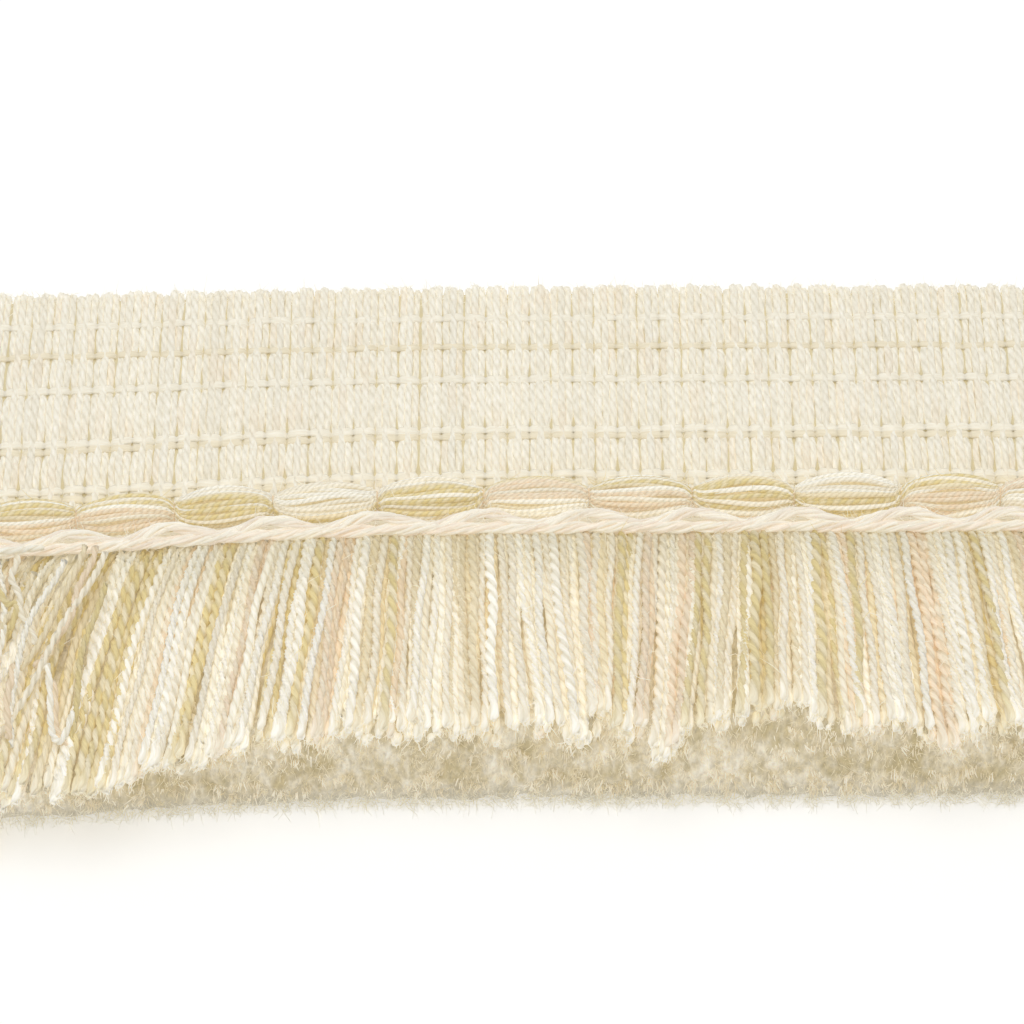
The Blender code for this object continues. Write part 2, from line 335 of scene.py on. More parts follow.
def join_threads(
    name: str, lots: list[Threads], material: bpy.types.Material, slot: str, *nodes: str,
) -> bpy.types.Object:
    """Joins lots of threads into one piece with a dye attribute and a UV map that follows each thread.

    Args:
        name: The piece's name.
        lots: The threads.
        material: Their finish.
        slot: The record's material slot, handed on to settle.
        nodes: The CAD nodes that the piece replaces.

    Returns:
        The piece.
    """
    places, corners, starts, maps, dyes = [], [], [], [], []
    vertex_count = corner_count = thread_count = 0
    for lot in lots:
        threads, rings = lot.half.shape
        sides = len(lot.section)
        tube = Tube.make(rings, sides)
        numbers = np.arange(threads)
        places.append(lot.vertices().reshape(-1, 3) * MM)
        first = vertex_count + numbers * rings * sides
        corners.append((first[:, None] + tube.corners).ravel())
        begin = corner_count + numbers * len(tube.corners)
        starts.append((begin[:, None] + tube.starts).ravel())
        across = (thread_count + numbers)[:, None] + tube.around
        maps.append(np.stack([across, lot.lengths()[:, tube.ring]], axis=2).reshape(-1, 2))
        dye = np.empty((threads, rings, 4))
        dye[..., :3] = lot.dye
        dye[..., 3] = np.reshape(lot.marled, (-1, 1))
        dyes.append(np.repeat(dye.reshape(-1, 4), sides, axis=0))
        vertex_count += threads * rings * sides
        corner_count += threads * len(tube.corners)
        thread_count += threads
    mesh = bpy.data.meshes.new(name)
    mesh.vertices.add(vertex_count)
    mesh.vertices.foreach_set("co", np.concatenate(places).ravel())
    mesh.loops.add(corner_count)
    mesh.loops.foreach_set("vertex_index", np.concatenate(corners).astype(np.int32))
    faces = np.concatenate(starts).astype(np.int32)
    mesh.polygons.add(len(faces))
    mesh.polygons.foreach_set("loop_start", faces)
    mesh.update(calc_edges=True)
    layer = mesh.uv_layers.new(name="yarn")
    layer.uv.foreach_set("vector", np.concatenate(maps).ravel())
    colour = mesh.attributes.new("dye", "FLOAT_COLOR", "POINT")
    colour.data.foreach_set("color", np.clip(np.concatenate(dyes), 0, 1).ravel())
    mesh.materials.append(material)
    mesh.shade_smooth()
    return settle(place(name, mesh), slot, *nodes)


def place(name: str, data: bpy.types.ID) -> bpy.types.Object:
    """Places a mesh, a lamp or a camera in the scene."""
    thing = bpy.data.objects.new(name, data)
    bpy.context.scene.collection.objects.link(thing)
    return thing


def shape(name: str, bm: bmesh.types.BMesh, *materials: bpy.types.Material) -> bpy.types.Object:
    """Places what mesh operators have shaped, and frees their mesh.

    Args:
        name: The piece's name.
        bm: Its shape.
        materials: Its finishes.

    Returns:
        The piece.
    """
    mesh = bpy.data.meshes.new(name)
    bm.to_mesh(mesh)
    bm.free()
    for material in materials:
        mesh.materials.append(material)
    return place(name, mesh)


def settle(piece: bpy.types.Object, slot: str, *nodes: str) -> bpy.types.Object:
    """Rides a finished piece on the trim, hides the solids that it stands for and logs its triangles.

    Args:
        piece: The piece.
        slot: Not used.
        nodes: The CAD nodes that it replaces.

    Returns:
        The piece.
    """
    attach(piece, "root")
    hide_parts(*nodes)
    triangles = sum(len(face.vertices) - 2 for face in piece.data.polygons)
    LOG.info("%s: %d triangles", piece.name, triangles)
    return piece


@dataclass
class Nodes:
    """The node tree of a material or of the world, emptied to be built anew."""

    owner: bpy.types.Material | bpy.types.World

    def __post_init__(self) -> None:
        """Empties the tree."""
        self.owner.use_nodes = True
        self.owner.node_tree.nodes.clear()

    def add(
        self, kind: str, *values: object, inputs: dict | None = None, **settings: object,
    ) -> bpy.types.NodeOutputs:
        """Adds a node with its settings and links.

        Args:
            kind: The node's type, without the ShaderNode that every one starts with.
            values: Values for its first inputs, or the sockets to link to them.
            inputs: The same for other inputs, by name or number.
            settings: Its properties.

        Returns:
            The node's outputs.
        """
        node = self.owner.node_tree.nodes.new("ShaderNode" + kind)
        for key, value in settings.items():
            setattr(node, key, value)
        for key, value in (dict(enumerate(values)) | (inputs or {})).items():
            if isinstance(value, bpy.types.NodeSocket):
                self.owner.node_tree.links.new(value, node.inputs[key])
            else:
                node.inputs[key].default_value = value
        return node.outputs

    def finish(
        self, colour: bpy.types.NodeSocket, height: bpy.types.NodeSocket, relief: float, glow: float,
        look: dict,
    ) -> bpy.types.Material:
        """Ends the tree in a matt shader with relief and a weak painted glow of its own colour.

        Args:
            colour: The socket that gives the colour.
            height: The socket that gives the relief's height.
            relief: What a height of 1 is, in mm.
            glow: A painted glow: light that would reach the fibres through their neighbours, against the
                colour.
            look: The shader's other inputs.

        Returns:
            The finished material.
        """
        bump = self.add("Bump", inputs={"Height": height, "Distance": relief * MM})[0]
        ends = {"Base Color": colour, "Emission Color": colour, "Emission Strength": glow, "Normal": bump}
        self.add("OutputMaterial", self.add("BsdfPrincipled", inputs=ends | look)[0])
        return self.owner


@dataclass(frozen=True)
class YarnFinish:
    """Spun or laid fibres of a yarn, which give the eye fine soft lines along it on a dye that varies.

    Attributes:
        name: What the yarn is.
        fibres: Fibre lines that show round the yarn.
        streak: Length of a fibre line before it fades, in mm.
        slant: Turns of the fibre lines round the yarn for each mm.
        depth: Height of the lines, in mm.
        mottle: How far the dye varies.
        roughness: Roughness of the surface.
        sheen: Weight of the soft light that loose fibres catch.
        glow: A painted glow: light that would reach the fibres through their neighbours, against the dye.
        marl: How far neighbouring plies differ in depth of colour.
        pale: The colour that the second ply of a marled yarn turns to.
        painted_groove_shade: Painted shade in the grooves between plies; without it no ply is drawn.
        ply_turn: Length of a full turn of the painted plies in mm, or 0 where the plies are modelled.
        ply_depth: Height of the painted plies, in mm.
        plies: How many plies the yarn has.
    """

    name: str
    fibres: float = 9.0
    streak: float = 2.0
    slant: float = 0.0
    depth: float = 0.03
    mottle: float = 0.10
    roughness: float = 0.85
    sheen: float = 0.25
    glow: float = 0.20
    marl: float = 0.0
    pale: Dye = Dye.CREAM
    painted_groove_shade: float = 0.0
    ply_turn: float = 0.0
    ply_depth: float = 0.12
    plies: int = 2

    def material(self) -> bpy.types.Material:
        """Builds the finish as a material that reads the thread's own UV map and dye."""
        nodes = Nodes(bpy.data.materials.new(self.name))
        spun, second_ply = nodes.add("VertexColor", layer_name="dye")
        around, along, _ = nodes.add("SeparateXYZ", nodes.add("UVMap", uv_map="yarn")[0])
        leaning = nodes.add("Math", along, self.slant, around, operation="MULTIPLY_ADD")[0]
        spot = nodes.add("CombineXYZ", leaning, along)[0]
        drawn = (self.fibres, 1 / self.streak, 0)
        spot = nodes.add("VectorMath", spot, drawn, operation="MULTIPLY")[0]
        noise = nodes.add("TexNoise", spot, inputs={"Scale": 1.0, "Detail": 3.0})["Fac"]
        shade = nodes.add("MapRange", noise, 0.3, 0.7, 1 - self.mottle, 1 + self.mottle * 0.4)[0]
        height = nodes.add("Math", noise, self.depth, operation="MULTIPLY")[0]
        if self.painted_groove_shade:
            wave = self.ply_wave(nodes, around, along)
            second = nodes.add("MapRange", wave, 0.4, -0.4)[0]
            paler = nodes.add("Math", second, second_ply, operation="MULTIPLY")[0]
            pale = (*self.pale.light, 1)
            spun = nodes.add("Mix", paler, inputs={6: spun, 7: pale}, data_type="RGBA")[2]
            ridge = nodes.add("Math", wave, operation="ABSOLUTE")[0]
            # Painted shade darkens the grooves and a faint painted highlight lifts the plies' backs; the
            # marl darkens one ply.
            for reach, low, high, least, most in (
                (ridge, 0.0, 0.8, 1 - self.painted_groove_shade, 1.03), (wave, -0.4, 0.4, 1 - self.marl, 1.0),
            ):
                part = nodes.add("MapRange", reach, low, high, least, most)[0]
                shade = nodes.add("Math", shade, part, operation="MULTIPLY")[0]
            if self.ply_turn:
                height = nodes.add("Math", ridge, self.ply_depth, height, operation="MULTIPLY_ADD")[0]
        rest = [1 - part for part in WARM_SHADE]
        warmed = nodes.add("VectorMath", shade, WARM_SHADE, rest, operation="MULTIPLY_ADD")[0]
        colour = nodes.add("VectorMath", spun, warmed, operation="MULTIPLY")[0]
        look = {"Roughness": self.roughness, "Specular IOR Level": 0.3, "Sheen Roughness": 0.5}
        return nodes.finish(colour, height, 1.0, self.glow, look | {"Sheen Weight": self.sheen})

    def ply_wave(
        self, nodes: Nodes, around: bpy.types.NodeSocket, along: bpy.types.NodeSocket,
    ) -> bpy.types.NodeSocket:
        """Adds a wave that is 1 or -1 on the backs of the plies by turns, and 0 in the grooves between.

        Args:
            nodes: The material's nodes.
            around: The socket that gives the share of the way round the yarn.
            along: The socket that gives the distance along it.

        Returns:
            The socket that gives the wave.
        """
        wind = 1 / self.ply_turn if self.ply_turn else 0.0
        share = nodes.add("Math", along, wind, around, operation="MULTIPLY_ADD")[0]
        angle = nodes.add("Math", share, TURN * self.plies / 2, operation="MULTIPLY")[0]
        return nodes.add("Math", angle, operation="COSINE")[0]


@dataclass(frozen=True)
class GroundFinish:
    """A plain cotton ground, which gives the eye a fine even weave between the yarns and on the back."""

    name: str = "cotton tape ground"
    deep: str = "#E3D8BE"
    high: str = "#F1E9D6"
    column: float = 1.724
    thread: float = 0.43
    glow: float = 0.15

    def material(self) -> bpy.types.Material:
        """Builds a plain weave from two crossed waves at the threads' real spacing."""
        nodes = Nodes(bpy.data.materials.new(self.name))
        spot = nodes.add("TexCoord")["Object"]
        waves = []
        for direction, spacing in (("X", self.column / 2), ("Y", self.thread)):
            look = {"Scale": 0.314 / (spacing * MM), "Distortion": 0.6, "Detail": 1.0}
            waves.append(nodes.add("TexWave", spot, inputs=look, bands_direction=direction)["Fac"])
        weave = nodes.add("Math", *waves, operation="MULTIPLY")[0]
        # The deep colour lies in the weave's hollows as painted shade, and the high one lies on the
        # threads.
        dyes = {6: (*linear(self.deep), 1), 7: (*linear(self.high), 1)}
        colour = nodes.add("Mix", weave, inputs=dyes, data_type="RGBA")[2]
        return nodes.finish(colour, weave, 0.15, self.glow, {"Roughness": 0.9})


@dataclass(frozen=True)
class FeltFinish:
    """The felted ends of thousands of cut yarns, which give the eye a soft deep pile in mottled patches."""

    name: str = "felted cotton cut ends"
    deep: str = "#C1B28B"
    common: str = "#D8CCB0"
    pale: str = "#F3ECDA"
    # The grey of the foot is painted shade by the floor.
    foot: str = "#CCC6B6"
    glow: float = 0.30

    def material(self) -> bpy.types.Material:
        """Builds three depths of colour in patches a yarn or more wide, greyer by the floor as painted
        shade.
        """
        nodes = Nodes(bpy.data.materials.new(self.name))
        spot = nodes.add("TexCoord")["Object"]
        noises = []
        # Grain of single fibres, frayed yarn ends that are longer than they are wide, and wide patches.
        for width, length in ((0.17, 0.24), (0.42, 0.85), (2.4, 3.2)):
            drawn = nodes.add("VectorMath", spot, (length / width, 1.0, 1.0), operation="MULTIPLY")[0]
            look = {"Scale": 1 / (2 * length * MM), "Detail": 3.0, "Roughness": 0.6}
            noises.append(nodes.add("TexNoise", drawn, inputs=look)["Fac"])
        grain, frayed, wide = noises
        patches = nodes.add("Math", frayed, wide, operation="ADD")[0]
        up = nodes.add("SeparateXYZ", spot)[2]
        colour = (*linear(self.deep), 1)
        for value, low, high, most, dye in (
            (patches, 0.80, 1.05, 1.0, self.common), (patches, 1.02, 1.30, 1.0, self.pale),
            # The last mix paints the shade by the floor in grey.
            (up, 2.4 * MM, 0.5 * MM, 0.9, self.foot),
        ):
            share = nodes.add("MapRange", value, low, high, 0.0, most)[0]
            dyes = {6: colour, 7: (*linear(dye), 1)}
            colour = nodes.add("Mix", share, inputs=dyes, data_type="RGBA")[2]
        shade = nodes.add("MapRange", grain, 0.3, 0.7, 0.80, 1.08)[0]
        colour = nodes.add("VectorMath", colour, inputs={"Scale": shade}, operation="SCALE")[0]
        height = nodes.add("Math", grain, 0.5, frayed, operation="MULTIPLY_ADD")[0]
        return nodes.finish(colour, height, 0.5, self.glow, {"Roughness": 0.95, "Sheen Weight": 0.3})


# Two soft plies pressed together: nearly twice as wide one way as the other.
TWO_PLIES = (1.0, 0.87, 0.60, 0.87, 1.0, 0.87, 0.60, 0.87)
TWO_PLIES_LIGHT = (1.0, 0.83, 0.83, 1.0, 0.83, 0.83)
FLAT_SIX = (1.0, 1.12, 1.12, 1.0, 1.12, 1.12)
ROUND_SIX = (1.0,) * 6
ROUND_FIVE = (1.0,) * 5
FIBRE = (1.0,) * 3


@dataclass
class HeadingTape:
    """The woven heading tape: paired weft yarns that turn at the free edge, and warp threads over them."""

    width: float = 26.4
    columns: int = 58
    yarns: int = 3
    yarn_pitch: float = 0.548
    yarn_half: float = 0.335
    yarn_flatness: float = 0.85
    yarn_twist: float = 3.3
    rings: int = 42
    scallop: float = 0.26
    # Reach of the yarns' turn over the free edge, and where they begin under the gimp.
    bend: float = 0.75
    start: float = -12.9
    # How deep the ground lies under the tops of the yarns, and how deep a warp dips into a gap.
    ground_depth: float = 0.42
    warp_dip: float = 0.34
    hairs: int = 2500
    seed: int = 3
    lines: Array = field(default_factory=lambda: np.array([
        (-13.2, 1.45), (-7.5, 1.60), (-6.9, 1.46), (-5.3, 1.44), (-4.8, 1.80), (-3.0, 1.80), (-2.5, 1.50),
        (-1.0, 1.48), (-0.4, 1.82), (2.5, 1.82), (3.0, 1.52), (3.9, 1.52), (4.5, 1.82), (5.8, 1.82),
        (6.3, 1.54), (7.0, 1.54), (7.5, 1.82), (8.7, 1.82), (9.1, 1.62), (9.9, 1.62), (10.4, 1.84),
        (11.8, 1.80), (13.2, 1.50),
    ]))
    # Place across the tape, half width, depth under its neighbours and dye of each warp thread.
    warps: tuple[tuple[float, float, float, Dye], ...] = (
        (9.50, 0.40, 0.12, Dye.IVORY), (6.65, 0.32, 0.10, Dye.SAND), (3.45, 0.40, 0.10, Dye.IVORY),
        (-1.45, 0.40, 0.07, Dye.IVORY), (-2.10, 0.38, 0.10, Dye.SAND), (-5.80, 0.40, 0.07, Dye.IVORY),
        (-6.50, 0.38, 0.10, Dye.SAND),
    )

    @property
    def column(self) -> float:
        """The width of a column."""
        return LENGTH / self.columns

    def build(self) -> None:
        """Builds the ground, the weft yarns and the warp threads."""
        ground = self.ground()
        weft = self.weft()
        warp = self.warp()

    def ground(self) -> bpy.types.Object:
        """The woven ground under the yarns, a thin closed sheet."""
        bm = bmesh.new()
        bmesh.ops.create_grid(bm, x_segments=116, y_segments=36, size=0.5)
        for vert in bm.verts:
            x = vert.co.x * (LENGTH - 0.3)
            y = vert.co.y * (self.width - 1.6) - 0.5
            vert.co.x = x * MM
            vert.co.y = (y + float(Lie.tape(x, y, self.width))) * MM
            vert.co.z = (float(np.interp(y, self.lines[:, 0], self.lines[:, 1])) - self.ground_depth) * MM
        rim = [edge for edge in bm.edges if edge.is_boundary]
        walls = bmesh.ops.extrude_edge_only(bm, edges=rim)["geom"]
        for item in walls:
            if isinstance(item, bmesh.types.BMVert):
                item.co.z = 0.03 * MM
        bmesh.ops.holes_fill(bm, edges=[edge for edge in bm.edges if edge.is_boundary], sides=0)
        bmesh.ops.recalc_face_normals(bm, faces=bm.faces[:])
        bm.normal_update()
        for face in bm.faces:
            face.material_index = int(face.normal.z > 0.5)
        # Faces that look up get a darker copy of the finish, painted shade for the yarns' shadow in the
        # gaps, which gives the eye their depth.
        shade_painted_ground = GroundFinish("cotton tape ground in painted shade between the yarns", "#D6CAA6", "#E2D8BA")
        piece = shape("tape_ground", bm, GroundFinish().material(), shade_painted_ground.material())
        return settle(piece, *TAPE)

    def weft(self) -> bpy.types.Object:
        """The twisted weft yarns, which run up the columns and turn down over the free edge."""
        rng = np.random.default_rng(self.seed)
        count = self.columns * self.yarns
        column = np.repeat(np.arange(self.columns), self.yarns)
        step = np.tile(np.arange(self.yarns) - (self.yarns - 1) / 2, self.columns)
        middle = -HALF + self.column * (column + 0.5)
        centre = middle + step * self.yarn_pitch + rng.normal(0, 0.012, count)
        notch = self.scallop * (1 + np.cos(np.pi * (centre + HALF) / self.column)) / 2
        edge = self.width / 2 - notch + rng.normal(0, 0.11, count)
        bend, low = self.bend, self.start
        total = edge - low - bend + 1.3 * bend
        s = total[:, None] * np.linspace(0, 1, self.rings)
        over = np.clip((s - (edge - bend - low)[:, None]) / (1.3 * bend), 0, 1) * np.pi / 2
        y = low + np.minimum(s, (edge - bend - low)[:, None]) + (bend - 0.3) * np.sin(over)
        drop = 0.75 * (1 - np.cos(over))
        phase = rng.uniform(0, TURN, (count, 3))
        wobble = 0.03 * np.sin(y * 0.9 + phase[:, :1]) + 0.035 * np.sin(y * 2.3 + phase[:, 1:2])
        top = np.interp(y, self.lines[:, 0], self.lines[:, 1])
        # The columns are drawn together under the warp threads and open out in the long floats.
        floats = np.exp(-(((y - 1.05) / 1.5) ** 4))
        spread = 0.79 + 0.21 * (top - 1.42) / 0.40 + 0.03 * floats
        x = middle[:, None] + (centre - middle)[:, None] * spread + wobble
        z = top - self.yarn_half * self.yarn_flatness - drop + 0.03 * np.sin(y * 1.7 + phase[:, 2:])
        z = z - 0.19 * np.abs(step[:, None]) * (1 - 0.8 * floats)
        line = np.stack([x, y + Lie.tape(x, y, self.width), np.maximum(z, 0.3)], axis=2)
        half = self.yarn_half * (1 + 0.08 * np.exp(-(((y - 0.7) / 1.6) ** 2)))
        half = half * (1 + 0.05 * rng.normal(0, 1, (count, 1)))
        dye = self.weft_dyes(rng, count, y)
        turn = np.broadcast_to(phase[:, :1], half.shape)
        lot = Threads(line, half, dye, ROUND_SIX, turn, self.yarn_flatness)
        # The plies are about 0.3 mm wide, so their twist is drawn as relief and shade, which gives the eye
        # the fine slanting lines of a spun yarn.
        finish = YarnFinish(
            "three-ply cotton weft yarn", fibres=6, streak=0.7, depth=0.05, mottle=0.13, glow=0.22,
            painted_groove_shade=0.07, ply_turn=self.yarn_twist, ply_depth=0.05, plies=3,
        )
        edge_part = Threads(line[:, -5:], half[:, -5:], dye[:, -5:], ROUND_SIX)
        hairs = stray_hairs(rng, edge_part, self.hairs, (0.25, 0.75))
        piece = join_threads("tape_weft", [lot], finish.material(), *TAPE)
        # Single cotton hairs soften the free edge.
        fuzz = YarnFinish("cotton tape hairs", depth=0.0, mottle=0.0, glow=0.30)
        join_threads("tape_hairs", [hairs], fuzz.material(), *TAPE)
        return piece

    def weft_dyes(self, rng: Chance, count: int, y: Array) -> Array:
        """Dyes the weft yarns cream, each a little different, with warm runs, painted light at the edge and
        painted shade near the gimp.

        Args:
            rng: The source of chance.
            count: Number of yarns.
            y: The places of their rings across the tape.

        Returns:
            The linear colours, as yarns by rings by 3.
        """
        plain = Dye.CREAM.light * 0.5 + Dye.IVORY.light * 0.5
        dye = plain + (Dye.WHITE.light - plain) * rng.uniform(0, 0.4, (count, 1))
        dye = dye * rng.uniform(0.905, 0.955, (count, 1))
        phase = rng.uniform(0, TURN, (count, 2))
        warm = np.sin(y * 0.5 + phase[:, :1]) * np.sin(y * 0.23 + phase[:, 1:])
        warm = 0.25 * ease(0.35, 0.9, warm)[..., None]
        dye = blend(dye[:, None, :], Dye.PEACH.light, warm)
        # Painted light: the yarns turn whiter at the free edge, for the floor's light through the loops.
        edge = 0.55 * ease(11.9, 13.1, y)[..., None]
        dye = blend(dye, Dye.WHITE.light, edge)
        # Painted shade: the yarns darken towards the gimp puffs.
        shade = 1 - 0.06 * ease(-5, -9, y)
        return dye * shade[..., None]

    def warp(self) -> bpy.types.Object:
        """The smooth warp threads, which pass over each column and dip into the gaps between."""
        rng = np.random.default_rng(self.seed + 1)
        # Share of the way over a column, how far the thread has dipped there, and its width.
        first = [(0.0, 1.0, 0.72), (0.06, 0.75, 0.85), (0.14, 0.12, 1.0), (0.5, 0.0, 1.06)]
        steps = np.array([*first, (0.86, 0.12, 1.0), (0.94, 0.75, 0.85)])
        share = (np.arange(self.columns)[:, None] + steps[:, 0]).ravel() / self.columns
        x = -HALF + 0.05 + (LENGTH - 0.1) * np.append(share, 1.0)
        dip = np.append(np.tile(steps[:, 1], self.columns), 1.0)
        wide = np.append(np.tile(steps[:, 2], self.columns), 0.72)
        deeper = 0.7 + 0.3 * np.cos(np.pi * (x + HALF) / self.column)
        lots = []
        gaps = np.linspace(-HALF, HALF, self.columns + 1)
        for y, half, sunk, dye in self.warps:
            wander = np.interp(x, gaps, rng.normal(0, 0.06, len(gaps)))
            lift = np.interp(x, gaps, rng.normal(0, 0.02, len(gaps)))
            top = np.interp(y, self.lines[:, 0], self.lines[:, 1]) - 0.06 - sunk
            z = top + lift - dip * self.warp_dip * deeper
            line = np.stack([x, y + wander, z], axis=1)
            line[:, 1] += Lie.tape(x, line[:, 1], self.width)
            width = half * wide * (1 + 0.05 * np.sin(x * 1.3))
            tint = (dye.light + Dye.CREAM.light) / 2 * (0.98 + rng.normal(0, 0.012))
            # Painted shade: the thread darkens where it dips into a gap.
            tint = tint * (1 - 0.16 * dip)[:, None]
            lots.append(Threads(line[None], width[None], tint[None], FLAT_SIX, 0.0, 0.10 / half))
        # Flat and a little smoother than cotton, so that its lines across the columns catch the light.
        finish = YarnFinish(
            "spun rayon warp thread", fibres=14, streak=1.0, depth=0.02, roughness=0.6, sheen=0.3,
        )
        return join_threads("tape_warp", lots, finish.material(), *TAPE)


@dataclass
class Puffs:
    """Where the ties pinch the gimp bundle, and how full it is between them."""

    # Length between two ties, girth against the common one, and which outer yarn faces the front.
    table: Array = field(default_factory=lambda: np.array([
        (4.7, 0.94, 14.0), (7.2, 1.00, 18.0), (7.5, 0.96, 20.0), (7.5, 1.03, 12.5), (8.0, 0.98, 6.0),
        (8.1, 1.02, 13.0), (8.1, 0.98, 23.5), (7.9, 1.00, 20.5), (7.8, 1.02, 14.0), (8.2, 1.05, 9.5),
        (7.6, 1.05, 19.5), (7.8, 0.97, 27.0), (7.9, 1.02, 17.0), (1.7, 0.80, 14.0),
    ]))
    fullness: float = 0.54
    # How near a tie the bundle turns, and how much the rings crowd towards the ties.
    turn_reach: float = 0.8
    crowding: float = 0.6

    @property
    def ties(self) -> Array:
        """The place of each tie along the trim."""
        return -HALF + np.cumsum(self.table[:-1, 0])

    def read(self, x: Array) -> tuple[Array, Array, Array]:
        """Reads the puffs at x.

        Args:
            x: Places along the trim.

        Returns:
            The puff's number, the share of the way along it, and how far it has swollen from its waist.
        """
        ties = self.ties
        number = np.searchsorted(ties, x)
        starts = np.concatenate([[ties[0] - 9.4], ties])
        ends = np.concatenate([ties, [ties[-1] + 3.4]])
        share = (x - starts[number]) / (ends[number] - starts[number])
        swell = np.clip(np.sin(np.pi * np.clip(share, 0, 1)), 0, 1) ** self.fullness
        return number, share, swell

    def facing(self, x: Array) -> Array:
        """Which outer yarn faces the front at x: the bundle turns where it is pinched."""
        face = np.full(np.shape(x), self.table[0, 2])
        for place, change in zip(self.ties, np.diff(self.table[:, 2])):
            face = face + change * ease(place - self.turn_reach, place + self.turn_reach, x)
        return face

    def stations(self, each: int) -> Array:
        """Places along the trim for rings, which crowd towards the ties, where the yarns bend most.

        Args:
            each: Rings for each puff.

        Returns:
            The places.
        """
        share = np.arange(each) / each
        share = share - self.crowding * np.sin(TURN * share) / TURN
        ends = np.concatenate([[-HALF], self.ties, [HALF]])
        inner = ends[:-1, None] + np.diff(ends)[:, None] * share
        return np.append(inner.ravel(), HALF)


@dataclass
class GimpBundle:
    """The bundle of loose yarns that the ties pinch into puffs."""

    y: float = -9.85
    floor: float = 1.95
    half_depth: float = 1.80
    half_height: float = 1.75
    waist: float = 0.55
    lift: float = 0.60
    draw: float = 0.50
    core_yarns: int = 8
    outer_half: float = 0.215
    core_half: float = 0.42
    # How far a yarn's place round the bundle sways, and how much its reach from the middle varies.
    sway: float = 0.26
    slack: float = 0.09
    rings_a_puff: int = 13
    twist: float = 1.0
    front: float = math.radians(125)
    hairs: int = 1800
    seed: int = 11
    puffs: Puffs = field(default_factory=Puffs)
    # Runs of outer yarns in their order round the bundle: a cream side, an olive one and a peach one.
    runs: tuple[tuple[Dye, int], ...] = (
        (Dye.CREAM, 2), (Dye.IVORY, 2), (Dye.WHITE, 2), (Dye.CREAM, 2), (Dye.IVORY, 1), (Dye.SAND, 1),
        (Dye.OLIVE, 2), (Dye.IVORY, 1), (Dye.OLIVE, 2), (Dye.CREAM, 1), (Dye.OLIVE, 1), (Dye.SAND, 1),
        (Dye.IVORY, 1), (Dye.PEACH, 2), (Dye.CREAM, 1), (Dye.PEACH, 2), (Dye.IVORY, 1), (Dye.SAND, 1),
        (Dye.WHITE, 2), (Dye.CREAM, 2),
    )

    def build(self) -> None:
        """Builds the bundle's yarns and the hairs that stand out of them."""
        rng = np.random.default_rng(self.seed)
        dyes = [dye for dye, run in self.runs for _ in range(run)]
        outer_yarns = len(dyes)
        count = outer_yarns + self.core_yarns
        x = self.puffs.stations(self.rings_a_puff)
        number, share, swell = self.puffs.read(x)
        girth = self.puffs.table[number, 1]
        depth = self.waist + (self.half_depth * girth - self.waist) * swell
        height = self.waist + (self.half_height * girth - self.waist) * swell
        slack = rng.uniform(-1, 1, (count, len(self.puffs.table)))[:, number]
        sway = rng.uniform(-1, 1, (count, len(self.puffs.table)))[:, number]
        step = TURN / outer_yarns
        angle = step * np.arange(outer_yarns)
        angle = np.concatenate([angle, TURN * (np.arange(self.core_yarns) + 0.5) / self.core_yarns])
        skew = 0.08 * np.sin(TURN * (share - 0.5) / 2) * swell
        angle = angle[:, None] + self.front - step * self.puffs.facing(x) - skew
        angle = angle + self.sway * sway * swell * np.cos(np.pi * (share - 0.5) + 2.0 * slack)
        outer = (np.arange(count) < outer_yarns)[:, None]
        full = np.where(outer, self.outer_half, self.core_half)
        half = full * (0.60 + 0.40 * swell) * (1 + 0.08 * slack)
        reach = np.where(outer, 1.0, 0.5) * (1 + self.slack * slack * swell)
        y = self.y + Lie.rows(x) + self.draw * (1 - swell) + (depth - half) * reach * np.cos(angle)
        raised = self.floor + self.lift * (1 - swell)
        z = raised + height + (height - half) * reach * np.sin(angle)
        along = x + 0.15 * np.sin(np.pi * share) * slack
        line = np.stack([along, y, np.maximum(z, self.floor + half)], axis=2)
        dyes += [Dye.SAND] * self.core_yarns
        dye = np.array([d.light for d in dyes])[:, None, :]
        # Each yarn's tone differs at random, and painted shade darkens the yarns towards the pinches at the
        # ties.
        tone_and_pinch_shade = 0.985 + 0.05 * slack[..., None] - 0.05 * (1 - swell)[None, :, None]
        marled = np.array([0.35 * (d in (Dye.OLIVE, Dye.PEACH)) for d in dyes])
        turn = rng.uniform(0, TURN, (count, 1))
        lot = Threads(line, half, dye * tone_and_pinch_shade, ROUND_FIVE, turn, marled=marled)
        # Soft marled singles, which give the eye loose strands in three colours with a faint twist.
        finish = YarnFinish(
            "loose gimp yarn", fibres=12, streak=1.2, depth=0.03, mottle=0.10, glow=0.27, painted_groove_shade=0.07,
            marl=0.02, ply_turn=self.twist, ply_depth=0.07,
        )
        join_threads("gimp_yarns", [lot], finish.material(), *GIMP)
        # Single hairs blur the edges between the strands.
        fuzz = YarnFinish("gimp yarn hairs", depth=0.0, mottle=0.0, glow=0.30)
        hairs = stray_hairs(rng, lot, self.hairs, (0.3, 1.0))
        join_threads("gimp_hairs", [hairs], fuzz.material(), *GIMP)


